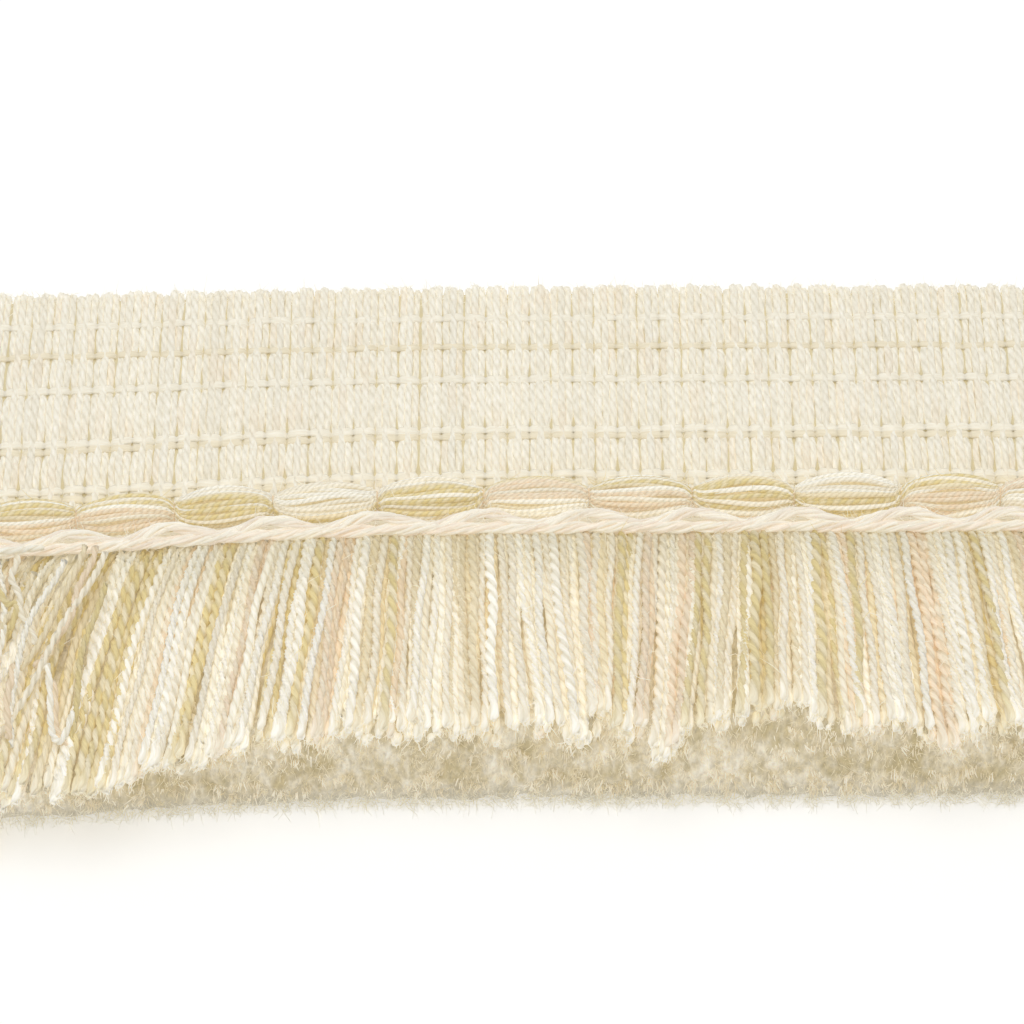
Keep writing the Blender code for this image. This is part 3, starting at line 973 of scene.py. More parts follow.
@dataclass
class Ties:
    """The turns of thread that pinch the gimp bundle."""

    gimp: GimpBundle
    turns: int = 2
    half: float = 0.13
    spacing: float = 0.24
    rings: int = 21
    # How far an arch goes past a half circle, and how steeply its legs go down.
    past: float = 0.35
    legs: float = 3.4
    seed: int = 17

    def build(self) -> None:
        """Builds the arches of every tie."""
        rng = np.random.default_rng(self.seed)
        ties = self.gimp.puffs.ties
        places = np.repeat(ties, self.turns)
        offset = np.tile((np.arange(self.turns) - (self.turns - 1) / 2) * self.spacing, len(ties))
        radius = self.gimp.waist + 0.8 * self.half + rng.uniform(-0.03, 0.03, len(places))
        angle = np.linspace(-self.past, np.pi + self.past, self.rings)
        slant = rng.uniform(-0.12, 0.12, len(places))
        x = places[:, None] + offset[:, None] + slant[:, None] * np.cos(angle)
        side = np.cos(angle) * radius[:, None]
        rise = np.where(np.sin(angle) > 0, np.sin(angle), self.legs * np.sin(angle))
        y = self.gimp.y + self.gimp.draw + Lie.rows(places)[:, None] + side
        z = self.gimp.floor + self.gimp.lift + self.gimp.waist + rise * radius[:, None]
        line = np.stack([x, y, z], axis=2)
        dye = Dye.PEACH.light * rng.uniform(0.90, 1.02, (len(places), 1))
        half = np.full(x.shape, self.half)
        lot = Threads(line, half, dye[:, None, :], ROUND_SIX, 0.0, 1.0, (1.0, 0.0, 0.0))
        # A hard fine thread, which gives the eye a thin warm line between two puffs.
        finish = YarnFinish("tie thread", fibres=6, streak=0.5, slant=1.2, depth=0.03, sheen=0.3)
        names = [f"tie_{i:02d}" for i in range(1, len(ties) + 1)]
        join_threads("tie_turns", [lot], finish.material(), "tie_thread", *names)


@dataclass
class BindingCord:
    """The two bundles of fine pale yarn that wave over each other along the brush's root."""

    puffs: Puffs
    y: float = -13.5
    z: float = 5.9
    yarn_half: float = 0.14
    rings: int = 205
    wind: float = 0.85
    # How much the bundles draw together in the middle of a puff and at its ties, and over what share of it.
    notch: tuple[float, float] = (0.32, 0.05)
    pinch: tuple[float, float] = (0.42, 0.08)
    hairs: int = 900
    seed: int = 23

    def build(self) -> None:
        """Builds the fine yarns of both bundles."""
        rng = np.random.default_rng(self.seed)
        x = np.linspace(-HALF + 0.05, HALF - 0.05, self.rings)
        _, share, _ = self.puffs.read(x)
        wave = np.cos(TURN * share)
        # Both bundles draw together at the ties, and in a small notch in the middle of a puff.
        pull = 1 - self.notch[0] * np.exp(-(((share - 0.5) / self.notch[1]) ** 2))
        pull -= self.pinch[0] * np.exp(-((np.minimum(share, 1 - share) / self.pinch[1]) ** 2))
        upper = self.bundle(rng, x, 0.17 + 0.37 * wave, 0.11 + 0.27 * wave, 0.35 * pull, 12, 2)
        lower = self.bundle(rng, x, -0.46 - 0.02 * wave, -0.12 + 0.02 * wave, 0.37 * pull, 13, 2)
        # Barely twisted yarn of long fibres, which gives the eye a smooth pale strand with a faint sheen.
        finish = YarnFinish(
            "laid rayon binding yarn", fibres=5, streak=0.8, slant=0.3, depth=0.04, mottle=0.10,
            roughness=0.6, glow=0.24, sheen=0.35,
        )
        join_threads("binding_yarns", [upper, lower], finish.material(), *BINDING)
        # Single hairs, so that the smooth strands do not look like wax.
        fuzz = YarnFinish("binding yarn hairs", depth=0.0, mottle=0.0, glow=0.30)
        hairs = [stray_hairs(rng, lot, self.hairs, (0.25, 0.8)) for lot in (upper, lower)]
        join_threads("binding_hairs", hairs, fuzz.material(), *BINDING)

    def bundle(
        self, rng: Chance, x: Array, across: Array, above: Array, wide: Array, rim: int, core: int,
    ) -> Threads:
        """Lays fine yarns side by side round the line of a bundle.

        Args:
            rng: The source of chance.
            x: Places along the trim.
            across: How far the bundle's line is from the binding's own along Y.
            above: How far it is above that.
            wide: Half the bundle's width between the centres of its outer yarns.
            rim: Yarns round its rim.
            core: Yarns inside.

        Returns:
            The yarns.
        """
        count = rim + core
        angle = np.concatenate([TURN * np.arange(rim) / rim, rng.uniform(0, TURN, core)])
        reach = np.concatenate([np.ones(rim), np.full(core, 0.4)])
        wander = 0.45 * np.sin(x * 0.5 + rng.uniform(0, TURN, (count, 1)))
        angle = angle[:, None] - x * self.wind + wander
        loose = 1 + 0.20 * np.sin(x * 1.3 + rng.uniform(0, TURN, (count, 1)))
        y = self.y + Lie.rows(x) + across + wide * reach[:, None] * loose * np.cos(angle)
        z = self.z + above + 0.85 * wide * reach[:, None] * loose * np.sin(angle)
        line = np.stack([np.broadcast_to(x, y.shape), y, z], axis=2)
        mix = rng.uniform(0.2, 1, (count, 1, 1))
        dye = blend(Dye.ROSE.light, Dye.IVORY.light, mix) * rng.uniform(0.90, 1.03, (count, 1, 1))
        half = np.full(y.shape, self.yarn_half)
        return Threads(line, half, dye, ROUND_FIVE, 0.0)


class Detail(Enum):
    """How finely a layer of brush yarns is modelled: its section, and rings for each modelled twist."""

    FULL = (TWO_PLIES, 6.3)
    LIGHT = (TWO_PLIES_LIGHT, 4.2)
    PLAIN = (ROUND_FIVE, 0.0)

    @property
    def section(self) -> tuple[float, ...]:
        """The reach of each corner of a ring."""
        return self.value[0]

    @property
    def rings_a_twist(self) -> float:
        """Rings for each full twist."""
        return self.value[1]


@dataclass
class Brush:
    """The brush: cut two-ply yarns in layers, from the backing under the binding to their fluffy ends."""

    levels: tuple[float, ...] = (0, 0.11, 0.22, 0.33, 0.44, 0.55, 0.66, 0.77, 0.87, 0.945, 1)
    pitch: float = 0.66
    yarn_half: float = 0.36
    twist: float = 2.2
    root_y: float = -13.9
    tip_low: float = -34.8
    tip_high: float = -32.4
    root_low: float = 0.45
    root_high: float = 4.95
    top: float = 7.55
    swell_share: float = 0.11
    # A yarn's usual length, how far it waves, how far disorder moves it, and how wide its cut end flares.
    yarn_length: float = 20.5
    wave: float = 0.16
    disorder: float = 1.7
    flare: float = 0.28
    # Yarns within this reach of the trim's ends are laid in every layer, since they show there.
    end_reach: float = 6.0
    felt_inset: float = 0.40
    felt_rings: int = 370
    felt_rows: int = 24
    tuft_count: int = 440
    tuft_fibres: int = 5
    foot_fibres: int = 5400
    hairs: int = 1300
    seed: int = 29
    # Root along the trim, and how far the tips lean along it.
    leans: Array = field(default_factory=lambda: np.array([
        (-50, -6.4), (-40, -5.8), (-30, -4.0), (-22, -2.5), (-10, -0.2), (-2, 1.4), (4.5, -1.0), (10, -1.3),
        (16, -0.1), (24, 0.9), (33, 1.6), (50, 2.4),
    ]))
    # Tip along the trim, and how much longer or shorter the upper yarns are there.
    cut_line: Array = field(default_factory=lambda: np.array([
        (-50.0, -2.6), (-39.0, -3.4), (-35.5, -3.6), (-33.0, -3.2), (-31.0, -2.0), (-28.0, -1.9),
        (-25.0, -1.1), (-23.3, 0.0), (-20.0, -0.7), (-17.0, 0.0), (-5.0, -0.1), (-1.3, 0.2), (0.3, -1.1),
        (1.8, 1.7), (3.2, -0.3), (4.7, 0.2), (6.2, -2.2), (8.0, 0.2), (10.0, 0.7), (15.8, 1.8), (18.5, 0.2),
        (24.0, 0.2), (27.0, -1.4), (29.0, 0.2), (50.0, 0.2),
    ]))
    # Root along the trim, half width and dye of each coloured lock.
    locks: tuple[tuple[float, float, Dye], ...] = (
        (-47.5, 0.5, Dye.PEACH), (-44.5, 0.6, Dye.OLIVE), (-41.8, 0.5, Dye.PEACH), (-39.5, 0.4, Dye.OLIVE),
        (-35.3, 1.0, Dye.OLIVE), (-31.3, 0.9, Dye.OLIVE), (-28.6, 0.3, Dye.PEACH), (-25.9, 0.4, Dye.OLIVE),
        (-23.2, 0.5, Dye.PEACH), (-21.1, 0.7, Dye.OLIVE), (-19.3, 0.4, Dye.OLIVE), (-17.2, 0.4, Dye.PEACH),
        (-14.5, 0.4, Dye.OLIVE), (1.6, 0.6, Dye.SAND), (3.9, 0.5, Dye.OLIVE), (5.9, 0.4, Dye.PEACH),
        (9.6, 0.9, Dye.OLIVE), (13.9, 0.8, Dye.OLIVE), (20.0, 0.3, Dye.PEACH), (25.7, 1.0, Dye.PEACH),
        (29.9, 0.8, Dye.OLIVE), (33.5, 0.4, Dye.PEACH), (38.0, 0.6, Dye.OLIVE), (43.0, 0.5, Dye.PEACH),
        (46.5, 0.6, Dye.OLIVE),
    )
    # Loose yarns that lie over the left end, as places in the trim's own frame.
    loose: tuple[tuple[Dye, tuple[tuple[float, float, float], ...]], ...] = (
        (Dye.PEACH, ((-36.0, -16.6, 7.0), (-36.9, -21.0, 7.6), (-38.2, -25.0, 7.3), (-39.9, -27.2, 6.9))),
        (Dye.SAND, ((-36.8, -16.4, 6.8), (-37.9, -20.6, 7.4), (-39.0, -24.2, 7.2), (-41.0, -27.4, 6.8))),
        (Dye.CREAM, ((-41.9, -17.2, 7.0), (-41.8, -20.0, 7.6), (-41.0, -22.6, 7.5), (-39.9, -25.4, 7.1))),
        (Dye.OLIVE, ((-44.0, -19.0, 7.2), (-42.4, -21.9, 7.6), (-41.3, -22.3, 7.6), (-42.0, -24.2, 7.3))),
        (Dye.WHITE, ((-38.9, -27.0, 7.0), (-38.4, -31.6, 6.9), (-37.5, -33.4, 6.6), (-36.9, -31.0, 6.9))),
        (Dye.PEACH, ((-38.4, -28.4, 6.7), (-38.1, -31.4, 6.6), (-37.3, -33.2, 6.2), (-36.7, -34.6, 5.4))),
        (Dye.CREAM, ((-35.2, -17.2, 7.1), (-37.3, -22.8, 7.6), (-40.3, -29.4, 6.9), (-43.4, -35.4, 5.6))),
        (Dye.IVORY, ((-43.2, -18.0, 7.1), (-42.2, -24.6, 7.4), (-42.9, -30.6, 6.6), (-42.2, -36.2, 5.0))),
        (Dye.SAND, ((-42.6, -33.0, 1.0), (-42.5, -36.2, 0.5), (-42.7, -38.2, 0.4), (-42.9, -40.0, 0.4))),
        (Dye.IVORY, ((-45.5, -18.6, 7.2), (-43.6, -17.6, 7.6), (-41.6, -17.2, 7.5), (-39.9, -16.6, 6.9))),
        (Dye.WHITE, ((-38.2, -18.0, 7.2), (-39.9, -22.6, 7.6), (-41.2, -27.6, 7.2), (-41.0, -33.6, 6.1))),
        (Dye.SAND, ((-40.4, -19.0, 7.1), (-42.2, -24.0, 7.5), (-43.9, -28.6, 7.0), (-44.0, -34.2, 5.7))),
        (Dye.OLIVE, ((-35.0, -20.2, 7.3), (-36.2, -25.4, 7.6), (-36.4, -30.0, 7.0), (-37.4, -35.2, 5.5))),
        (Dye.PEACH, ((-41.4, -27.2, 7.1), (-41.6, -29.6, 7.3), (-41.3, -31.8, 6.9), (-41.5, -33.2, 6.6))),
        (Dye.CREAM, ((-44.4, -26.4, 6.8), (-43.6, -29.8, 7.0), (-44.2, -33.4, 6.1), (-43.8, -37.0, 4.4))),
    )
    ends: list[tuple[Array, Array, Array]] = field(default_factory=list)

    def build(self) -> None:
        """Builds every layer, the backing strip, the cut ends' fluff and the loose hairs."""
        self.backing()
        # Two soft plies with painted shade between them, which give the eye a row of small ropes.
        modelled = YarnFinish(
            "two-ply cotton brush yarn", fibres=12, streak=1.2, depth=0.05, mottle=0.15, painted_groove_shade=0.17,
            marl=0.04, glow=0.25,
        )
        # The same yarn where it lies deep in the brush: its plies and their shade are painted, with less
        # painted glow, since less light gets there.
        painted = YarnFinish(
            "two-ply cotton brush yarn, inner layers", glow=0.17, painted_groove_shade=0.14, ply_turn=self.twist,
            ply_depth=0.05,
        )
        last = len(self.levels) - 1
        plain = [self.layer(i, Detail.PLAIN) for i in range(last - 2)]
        join_threads("brush_inner_yarns", plain, painted.material(), *BRUSH)
        finish = modelled.material()
        upper = self.layer(last, Detail.FULL)
        for name, lots in (
            ("lower", [self.layer(last - 2, Detail.LIGHT)]),
            ("middle", [self.layer(last - 1, Detail.LIGHT)]), ("upper", [upper, self.loose_yarns()]),
        ):
            join_threads(f"brush_{name}_yarns", lots, finish, *BRUSH)
        self.felt()
        self.fluff(upper)

    def backing(self) -> None:
        """The strip that the roots are fused in, wrapped by yarn from the tape's edge to the brush."""
        bm = bmesh.new()
        outline = [
            (-12.0, 2.0), (-12.0, 4.2), (-12.5, 4.6), (-14.9, 4.6), (-15.3, 4.2), (-15.3, 0.3),
            (-15.0, 0.05), (-13.6, 0.05), (-13.6, 2.0),
        ]
        first = [bm.verts.new((-HALF * MM, y * MM, z * MM)) for y, z in outline]
        face = bm.faces.new(first)
        stations = 60
        for _ in range(stations):
            face = bmesh.ops.extrude_discrete_faces(bm, faces=[face])["faces"][0]
            for vert in face.verts:
                vert.co.x += LENGTH / stations * MM
        bm.faces.new(reversed(first))
        for vert in bm.verts:
            vert.co.y += float(Lie.rows(vert.co.x / MM)) * MM
            vert.co.x *= (HALF - 0.1) / HALF
        bmesh.ops.recalc_face_normals(bm, faces=bm.faces[:])
        # Close rows of stitches, which give the eye a plain cloth strip under the binding.
        stitched = GroundFinish("stitched yarn backing", column=1.4, thread=0.5)
        settle(shape("brush_backing", bm, stitched.material()), *BRUSH)

    def layer(self, number: int, detail: Detail) -> Threads:
        """Lays the yarns of one layer.

        Args:
            number: The layer, from 0 at the floor.
            detail: How finely its yarns are modelled.

        Returns:
            The yarns.
        """
        rng = np.random.default_rng(self.seed + number)
        level = self.levels[number]
        upper = float(ease(0.55, 1.0, level))
        count = round(LENGTH / self.pitch)
        roots = -HALF + self.pitch * (np.arange(count) + 0.5 * (number % 2))
        roots = np.clip(roots + rng.uniform(-0.14, 0.14, count), -HALF + 0.3, HALF - 0.3)
        # A plain yarn's rings crowd at its ends; a twisted yarn has them at even steps of its twist.
        t = np.array((0, 0.02, 0.10, 0.22, 0.40, 0.60, 0.80, 0.975, 1))
        if detail != Detail.PLAIN:
            t = np.linspace(0, 1, round(self.yarn_length / self.twist * detail.rings_a_twist))
        wild = self.wildness(roots) * (0.35 + 0.65 * upper)
        stray = rng.normal(0, 1, (count, 4))
        tip_x, tip_y, tip_z = self.tip(roots, level)
        tip_x = tip_x + stray[:, 0] * (0.24 + self.disorder * wild)
        tip_y = tip_y + stray[:, 1] * (0.28 + 0.6 * wild)
        if level < 0.8:
            # The inner yarns end inside the felted face, but not those at the trim's two ends.
            tip_y = tip_y + np.where(np.abs(roots) > HALF - 1, 0.4, 1.5)
        tip_z = tip_z + stray[:, 2] * 0.13 * (level > 0)
        root_y = self.root_y - 0.7 * (1 - upper) + Lie.rows(roots)
        root_z = self.root_low + level * (self.root_high - self.root_low)
        # At the left the yarns lean at once and hang straighter below, elsewhere they spread at their tips.
        share = t ** (0.68 + 0.57 * ease(-34, -16, roots))[:, None]
        bow = np.sin(np.pi * t)
        wave = self.wave * np.sin(TURN * (t * rng.uniform(0.8, 1.8, (count, 1))) + stray[:, 3:] * 3)
        wave = wave * (1 + 3.5 * wild[:, None])
        x = roots[:, None] + (tip_x - roots)[:, None] * share + wave * bow
        x += (wild * stray[:, 3])[:, None] * self.disorder * bow
        y = root_y[:, None] + (tip_y - root_y)[:, None] * t
        rise = (1 - np.exp(-t / self.swell_share)) / (1 - math.exp(-1 / self.swell_share))
        z = root_z + (tip_z - root_z)[:, None] * rise + 0.12 * stray[:, 2:3] * bow
        z += (wild * rng.uniform(-0.4, 0.6, count) * upper)[:, None] * bow
        line = np.stack([x, y, z], axis=2)
        length = spread_length(line, t)
        left = length[:, -1:] - length
        flare = 1 + (detail != Detail.PLAIN) * self.flare * np.exp(-left / 0.7)
        half = self.yarn_half * (0.80 + 0.20 * ease(0, 0.12, t)) * flare
        half = half * (1 + 0.08 * rng.normal(0, 1, (count, 1)))
        half[:, -1] *= 0.55
        line[..., 2] = np.maximum(line[..., 2], half * 1.02)
        # Only a modelled twist turns the rings: rings that lie far apart would wring a plain tube.
        untwist = 1 - np.exp(-left / 0.9)
        wound = TURN * length / self.twist * (0.9 + 0.1 * untwist) * (detail != Detail.PLAIN)
        turn = rng.uniform(0, TURN, (count, 1)) - wound
        dye, marled = self.dye(rng, roots, level, t, left)
        self.ends.append((line[:, -1], line[:, -1] - line[:, -2], dye[:, -1]))
        # The felt closes the brush's inside, so the yarns in it show at the trim's two ends only.
        seen = (np.abs(roots) > HALF - self.end_reach) | (level == 0) | (level > 0.8)
        section = detail.section
        return Threads(line[seen], half[seen], dye[seen], section, turn[seen], marled=marled[seen])

    def wildness(self, roots: Array) -> Array:
        """How far the yarns from given roots lie in disorder, from 0 to 1 at the left end."""
        return ease(-30, -44, roots)

    def tip(self, roots: Array, level: Array | float) -> tuple[Array, Array, Array]:
        """Where the yarns end, before chance moves them.

        Args:
            roots: Their roots along the trim.
            level: Their height in the brush, from 0 to 1.

        Returns:
            The three parts of the places.
        """
        upper = ease(0.55, 1.0, level)
        lean = smooth(self.leans, 1, roots) * (0.8 + 0.2 * level)
        clump = 0.34 * np.sin(roots * 2.0 + 1.3 * np.sin(roots * 0.37)) * (0.6 + 0.4 * upper)
        x = roots + lean + clump
        cut = smooth(self.cut_line, 1, x) * upper
        y = self.tip_low + (self.tip_high - self.tip_low) * level**1.3 + cut + Lie.rows(roots)
        z = self.yarn_half + 0.02 + level * (self.top - 2 * self.yarn_half)
        z = z - 1.3 * self.wildness(roots) * upper + 0.30 * np.minimum(cut, 0) * upper
        return x, y, z

    def loose_yarns(self) -> Threads:
        """The loose yarns that lie in disorder over the left end."""
        rng = np.random.default_rng(self.seed + 50)
        t = np.linspace(0, 1, 44)
        knots = np.linspace(0, 1, 4)
        lines = []
        for _, route in self.loose:
            table = np.column_stack([knots, np.array(route)])
            lines.append(np.stack([smooth(table, column, t) for column in (1, 2, 3)], axis=1))
        line = np.array(lines)
        line[..., 0] += self.wave * np.sin(TURN * t * rng.uniform(1.2, 2.6, (len(line), 1)))
        half = np.full(line.shape[:2], self.yarn_half * 0.82)
        half[:, -1] *= 0.6
        length = spread_length(line, t)
        turn = rng.uniform(0, TURN, (len(line), 1)) - TURN * length / self.twist
        dye = np.array([dye.light * 0.96 for dye, _ in self.loose])[:, None]
        return Threads(line, half, dye, TWO_PLIES, turn, marled=0.15)

    def dye(self, rng: Chance, roots: Array, level: float, t: Array, left: Array) -> tuple[Array, Array]:
        """Dyes the yarns of a layer: coloured locks among cream ones, with painted shade at the roots and
        deeper down, and a painted highlight where they are cut.

        Args:
            rng: The source of chance.
            roots: The yarns' roots along the trim.
            level: The layer's height, from 0 to 1.
            t: Share of the way along the yarns at each ring.
            left: Length left to the cut at each ring.

        Returns:
            The linear colours, as yarns by rings by 3, and how far each yarn is marled.
        """
        common = [Dye.CREAM, Dye.IVORY, Dye.WHITE, Dye.SAND, Dye.OLIVE, Dye.PEACH]
        odds = [0.35, 0.32, 0.16, 0.09, 0.04, 0.04]
        picks = rng.choice(len(common), len(roots), p=odds)
        for place, reach, dye in self.locks:
            inside = (np.abs(roots - place) < reach) & (rng.uniform(0, 1, len(roots)) < 0.75)
            if level > 0.7:
                picks[inside] = common.index(dye)
        colours = np.array([d.light for d in common])[picks]
        colours = colours * rng.uniform(0.955, 1.04, (len(roots), 1))
        marled = np.where(picks > 3, rng.uniform(0.25, 0.60, len(roots)), 0.0)
        if level < 1:
            # What lies deeper is seen in the gaps, so it gets a painted warm shade for the light passed
            # from yarn to yarn.
            colours = colours * (0.985, 0.97, 0.925)
        # Painted warm shade under the binding, and painted full light on the lower half.
        shade = np.array(((0.87, 0.85, 0.78), (1.02, 1.02, 1.035)))
        lit = ease(0, 0.45, t)[:, None]
        # A painted highlight: the yarns turn whiter in the last mm before the cut, where the light falls on
        # their ends.
        white = 0.55 * np.exp(-left / 2.2)[..., None]
        colours = colours[:, None, :] * blend(shade[0], shade[1], lit)
        return blend(colours, Dye.WHITE.light, white), marled

    def face(self, roots: Array, level: Array) -> Array:
        """Places on the felted face of the cut, just inside the yarns' ends.

        Args:
            roots: Roots of the yarns that end there.
            level: Their heights in the brush, from 0 to 1.

        Returns:
            The places in mm.
        """
        x, y, z = self.tip(roots, level)
        foot = (self.yarn_half - 0.02) * (1 - level) ** 2
        return np.stack([x, y + self.felt_inset, z - foot], axis=-1)

    def felt(self) -> None:
        """The face of the cut, a closed lumpy skin that fills the brush's front behind the fibres."""
        rng = np.random.default_rng(self.seed + 70)
        roots = np.linspace(-HALF + 0.9, HALF - 0.95, self.felt_rings)[:, None]
        level = np.linspace(0.94, 0.0, self.felt_rows)[None, :]
        front = self.face(roots + 0 * level, level + 0 * roots)
        front[..., 1] += self.lumps(rng, front) * (0.65 + 0.35 * ease(0.0, 0.3, level))
        front[..., 1] += 0.35 * ease(0.06, 0.0, level)
        # Behind the face it runs back under the upper yarns, and closes the deep gaps between them.
        shelf = self.face(roots, np.full_like(roots, 0.83))
        back = np.stack([front[:, -1], shelf[:, 0], shelf[:, 0]], axis=1)
        reach = np.array((0.12, 0.12, 0.85))
        back[..., 0] = roots + reach * (back[..., 0] - roots)
        root_y = self.root_y + Lie.rows(roots)
        back[..., 1] = root_y + reach * (back[..., 1] - root_y)
        corners = np.concatenate([back, front], axis=1)
        line = corners.mean(axis=1)
        section = (1.0,) * corners.shape[1]
        skin = Skin(line[None], np.ones((1, len(line))), Dye.SAND.light, section, corners=corners[None])
        join_threads("cut_felt", [skin], FeltFinish().material(), *BRUSH)

    def lumps(self, rng: Chance, places: Array) -> Array:
        """How far the felted face stands out or in at given places.

        Args:
            rng: The source of chance.
            places: The places.

        Returns:
            The distances along Y.
        """
        out = np.zeros(places.shape[:-1])
        for _ in range(26):
            spacing = rng.uniform(0.9, 3.6)
            heading = rng.uniform(0, TURN)
            wave = places[..., 0] * math.cos(heading) + places[..., 2] * math.sin(heading)
            out += 0.032 * spacing**0.6 * np.cos(TURN * wave / spacing + rng.uniform(0, TURN))
        return out

    def fluff(self, upper: Threads) -> None:
        """The fine fibres that stand out of the cut face, and loose hairs over the brush.

        Args:
            upper: The brush's upper yarns.
        """
        rng = np.random.default_rng(self.seed + 100)
        # Loose fibre ends, which scatter the light and give the eye a pale fuzz without a sharp edge.
        finish = YarnFinish(
            "cut cotton fluff", depth=0.0, mottle=0.03, roughness=0.95, sheen=0.4, glow=0.36,
        ).material()
        for name, low, high, count in (
            ("cut_fluff_upper", 0.48, 1.0, 4300), ("cut_fluff_lower", 0.02, 0.48, 3500),
        ):
            roots = rng.uniform(-HALF + 0.4, HALF - 0.4, count)
            level = rng.uniform(low, high, count)
            base = self.face(roots, level)
            base[:, 1] += rng.uniform(-0.15, 0.25, count)
            way = rng.normal(0, 0.6, (count, 3)) + (0, -0.9, -0.1)
            shade = self.felt_dye(rng, roots, level)
            lots = [grow_fibres(rng, base, way, (0.22, 0.60), (0.020, 0.034), shade, 0.45)]
            lots.append(self.tufts(rng, low + 0.1, high - 0.08))
            lots.append(self.foot_fuzz(rng) if low < 0.1 else self.end_fibres(rng))
            join_threads(name, lots, finish, *BRUSH)
        hairs = stray_hairs(rng, upper, self.hairs, (0.4, 1.2))
        join_threads("brush_hairs", [hairs], finish, *BRUSH)

    def felt_dye(self, rng: Chance, roots: Array, level: Array) -> Array:
        """Dyes fibres of the cut face in warm and pale patches, greyer towards the floor as painted shade.

        Args:
            rng: The source of chance.
            roots: Roots of the yarns that they belong to.
            level: Their heights in the brush.

        Returns:
            The linear colours.
        """
        patch = np.sin(roots * 0.9 + 2.0 * np.sin(level * 5 + roots * 0.31)) * 0.5 + 0.5
        mix = np.clip(0.65 * patch + rng.uniform(-0.3, 0.45, len(roots)), 0, 1)[:, None]
        # Painted shade: the fibres turn grey towards the floor.
        floor_shade = 0.6 * ease(0.25, 0.0, level)[:, None]
        return blend(blend(linear("#D8CAA4"), linear("#EDE5CE"), mix), linear("#D6D0BA"), floor_shade)

    def tufts(self, rng: Chance, low: float, high: float) -> Threads:
        """The frayed pale ends of yarns that were cut a little longer than the rest.

        Args:
            rng: The source of chance.
            low: The least height of their yarns in the brush, from 0 to 1.
            high: The greatest.

        Returns:
            Their fibres.
        """
        count, each = self.tuft_count, self.tuft_fibres
        roots = np.repeat(rng.uniform(-HALF + 1, HALF - 1, count), each)
        level = np.repeat(rng.uniform(low, high, count), each)
        base = self.face(roots, level) + rng.normal(0, 0.14, (count * each, 3)) + (0, 0.15, 0)
        lead = np.repeat(rng.normal(0, 0.28, (count, 3)), each, axis=0) + (0, -1.0, -0.35)
        way = lead + rng.normal(0, 0.12, (count * each, 3))
        tone = np.repeat(rng.uniform(0, 1, (count, 1)), each, axis=0)
        dye = blend(linear("#DCD0B4"), linear("#F1EAD8"), tone)
        return grow_fibres(rng, base, way, (0.35, 0.70), (0.040, 0.070), dye, 0.22)

    def foot_fuzz(self, rng: Chance) -> Threads:
        """The longer curled fibres along the foot of the cut face, by the floor."""
        count = self.foot_fibres
        roots = rng.uniform(-HALF + 0.4, HALF - 0.4, count)
        base = self.face(roots, rng.uniform(0.0, 0.12, count))
        base[:, 1] += rng.uniform(-0.6, 0.2, count)
        way = rng.normal(0, 0.9, (count, 3)) + (0, -0.4, 0.1)
        tone = rng.uniform(0, 1, (count, 1))
        # Their grey is painted shade by the floor; their tone differs at random.
        dye = blend(linear("#CBC6B4"), linear("#EFEADB"), tone)
        return grow_fibres(rng, base, way, (0.22, 0.55), (0.020, 0.032), dye, 0.8)

    def end_fibres(self, rng: Chance) -> Threads:
        """Short fibres that soften the ends of the three upper layers of yarn."""
        points, ahead, dyes = (np.concatenate(parts) for parts in zip(*self.ends[-3:]))
        ahead = unit(ahead)
        each = 5
        base = np.repeat(points - ahead * 0.25, each, axis=0)
        base = base + rng.normal(0, 0.15, base.shape)
        way = np.repeat(ahead, each, axis=0) + rng.normal(0, 0.25, base.shape)
        dye = np.repeat(dyes, each, axis=0)
        return grow_fibres(rng, base, way, (0.3, 0.75), (0.022, 0.036), dye, 0.3)


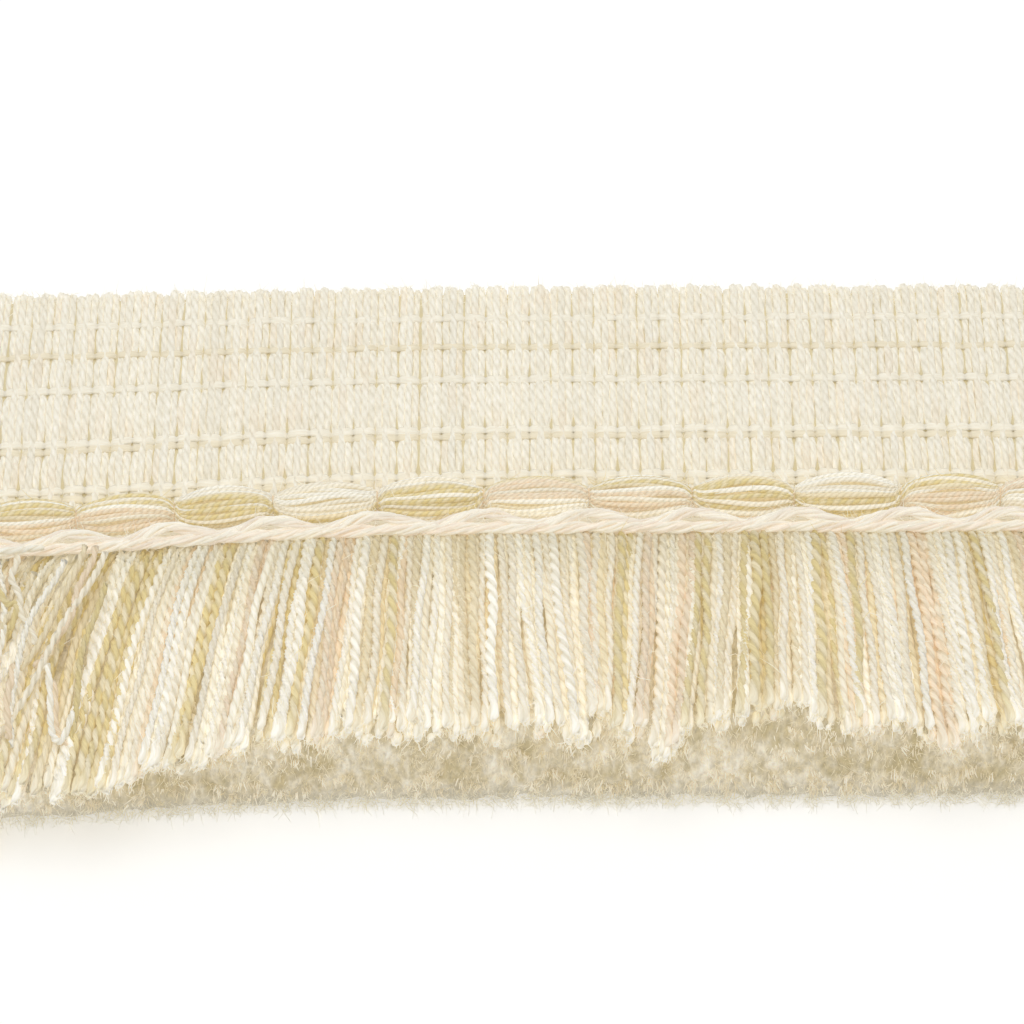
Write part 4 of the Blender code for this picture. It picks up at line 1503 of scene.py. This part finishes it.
@dataclass
class Studio:
    """The pale floor, the soft lights and the camera at the photograph's angle."""

    target: tuple[float, float, float] = (-4.8, -8.5, 0.0)
    elevation: float = 55.0
    distance: float = 300.0
    width_seen: float = 79.4
    lamp_watts: float = 1.1
    room_light: float = 0.60

    def build(self) -> None:
        """Sets the camera, the floor and the lights."""
        self.camera()
        self.floor()
        self.lights()

    def camera(self) -> None:
        """Places the camera in front of the brush, looking down over the trim."""
        data = bpy.data.cameras.new("camera")
        data.sensor_width = 36.0
        data.lens = 36.0 * self.distance / self.width_seen
        data.clip_start = 0.01
        camera = place("camera", data)
        angle = math.radians(self.elevation)
        x, y, z = self.target
        camera.location = (
            x * MM, (y - self.distance * math.cos(angle)) * MM, (z + self.distance * math.sin(angle)) * MM,
        )
        camera.rotation_euler = (math.pi / 2 - angle, 0.0, 0.0)
        bpy.context.scene.camera = camera

    def floor(self) -> None:
        """Lays a wide plain floor that the trim rests on."""
        bm = bmesh.new()
        bmesh.ops.create_grid(bm, x_segments=2, y_segments=2, size=2.0)
        bmesh.ops.translate(bm, verts=bm.verts[:], vec=(0, 0, -0.02 * MM))
        # Smooth white paper, lit so that it gives the eye no texture and only a soft shade by the trim.
        nodes = Nodes(bpy.data.materials.new("matt white paper floor"))
        paper = {"Base Color": (*linear("#F7F7F6"), 1), "Roughness": 0.9, "Specular IOR Level": 0.1}
        glow = {"Emission Color": (1, 1, 1, 1), "Emission Strength": 0.24}
        nodes.add("OutputMaterial", nodes.add("BsdfPrincipled", inputs=paper | glow)[0])
        floor = shape("floor", bm, nodes.owner)

    def lights(self) -> None:
        """Hangs one soft light over and a little behind the trim, in a white room."""
        data = bpy.data.lights.new("overhead", "AREA")
        data.shape = "SQUARE"
        data.size = 0.5
        data.energy = self.lamp_watts
        lamp = place("overhead", data)
        lamp.location = (-0.05, 0.10, 0.58)
        lamp.rotation_euler = (math.radians(-10), math.radians(-5), 0)
        world = bpy.data.worlds.new("white room")
        nodes = Nodes(world)
        nodes.add("OutputWorld", nodes.add("Background", (1, 1, 1, 1), self.room_light)[0])
        bpy.context.scene.world = world
        bpy.context.scene.view_settings.view_transform = "Standard"


def main() -> None:
    """Builds the scene and reports each piece."""
    logging.basicConfig(level=logging.INFO, format="%(name)s: %(message)s")
    Studio().build()
    HeadingTape().build()
    gimp = GimpBundle()
    gimp.build()
    Ties(gimp).build()
    BindingCord(gimp.puffs).build()
    Brush().build()


if __name__ == "__main__":
    main()
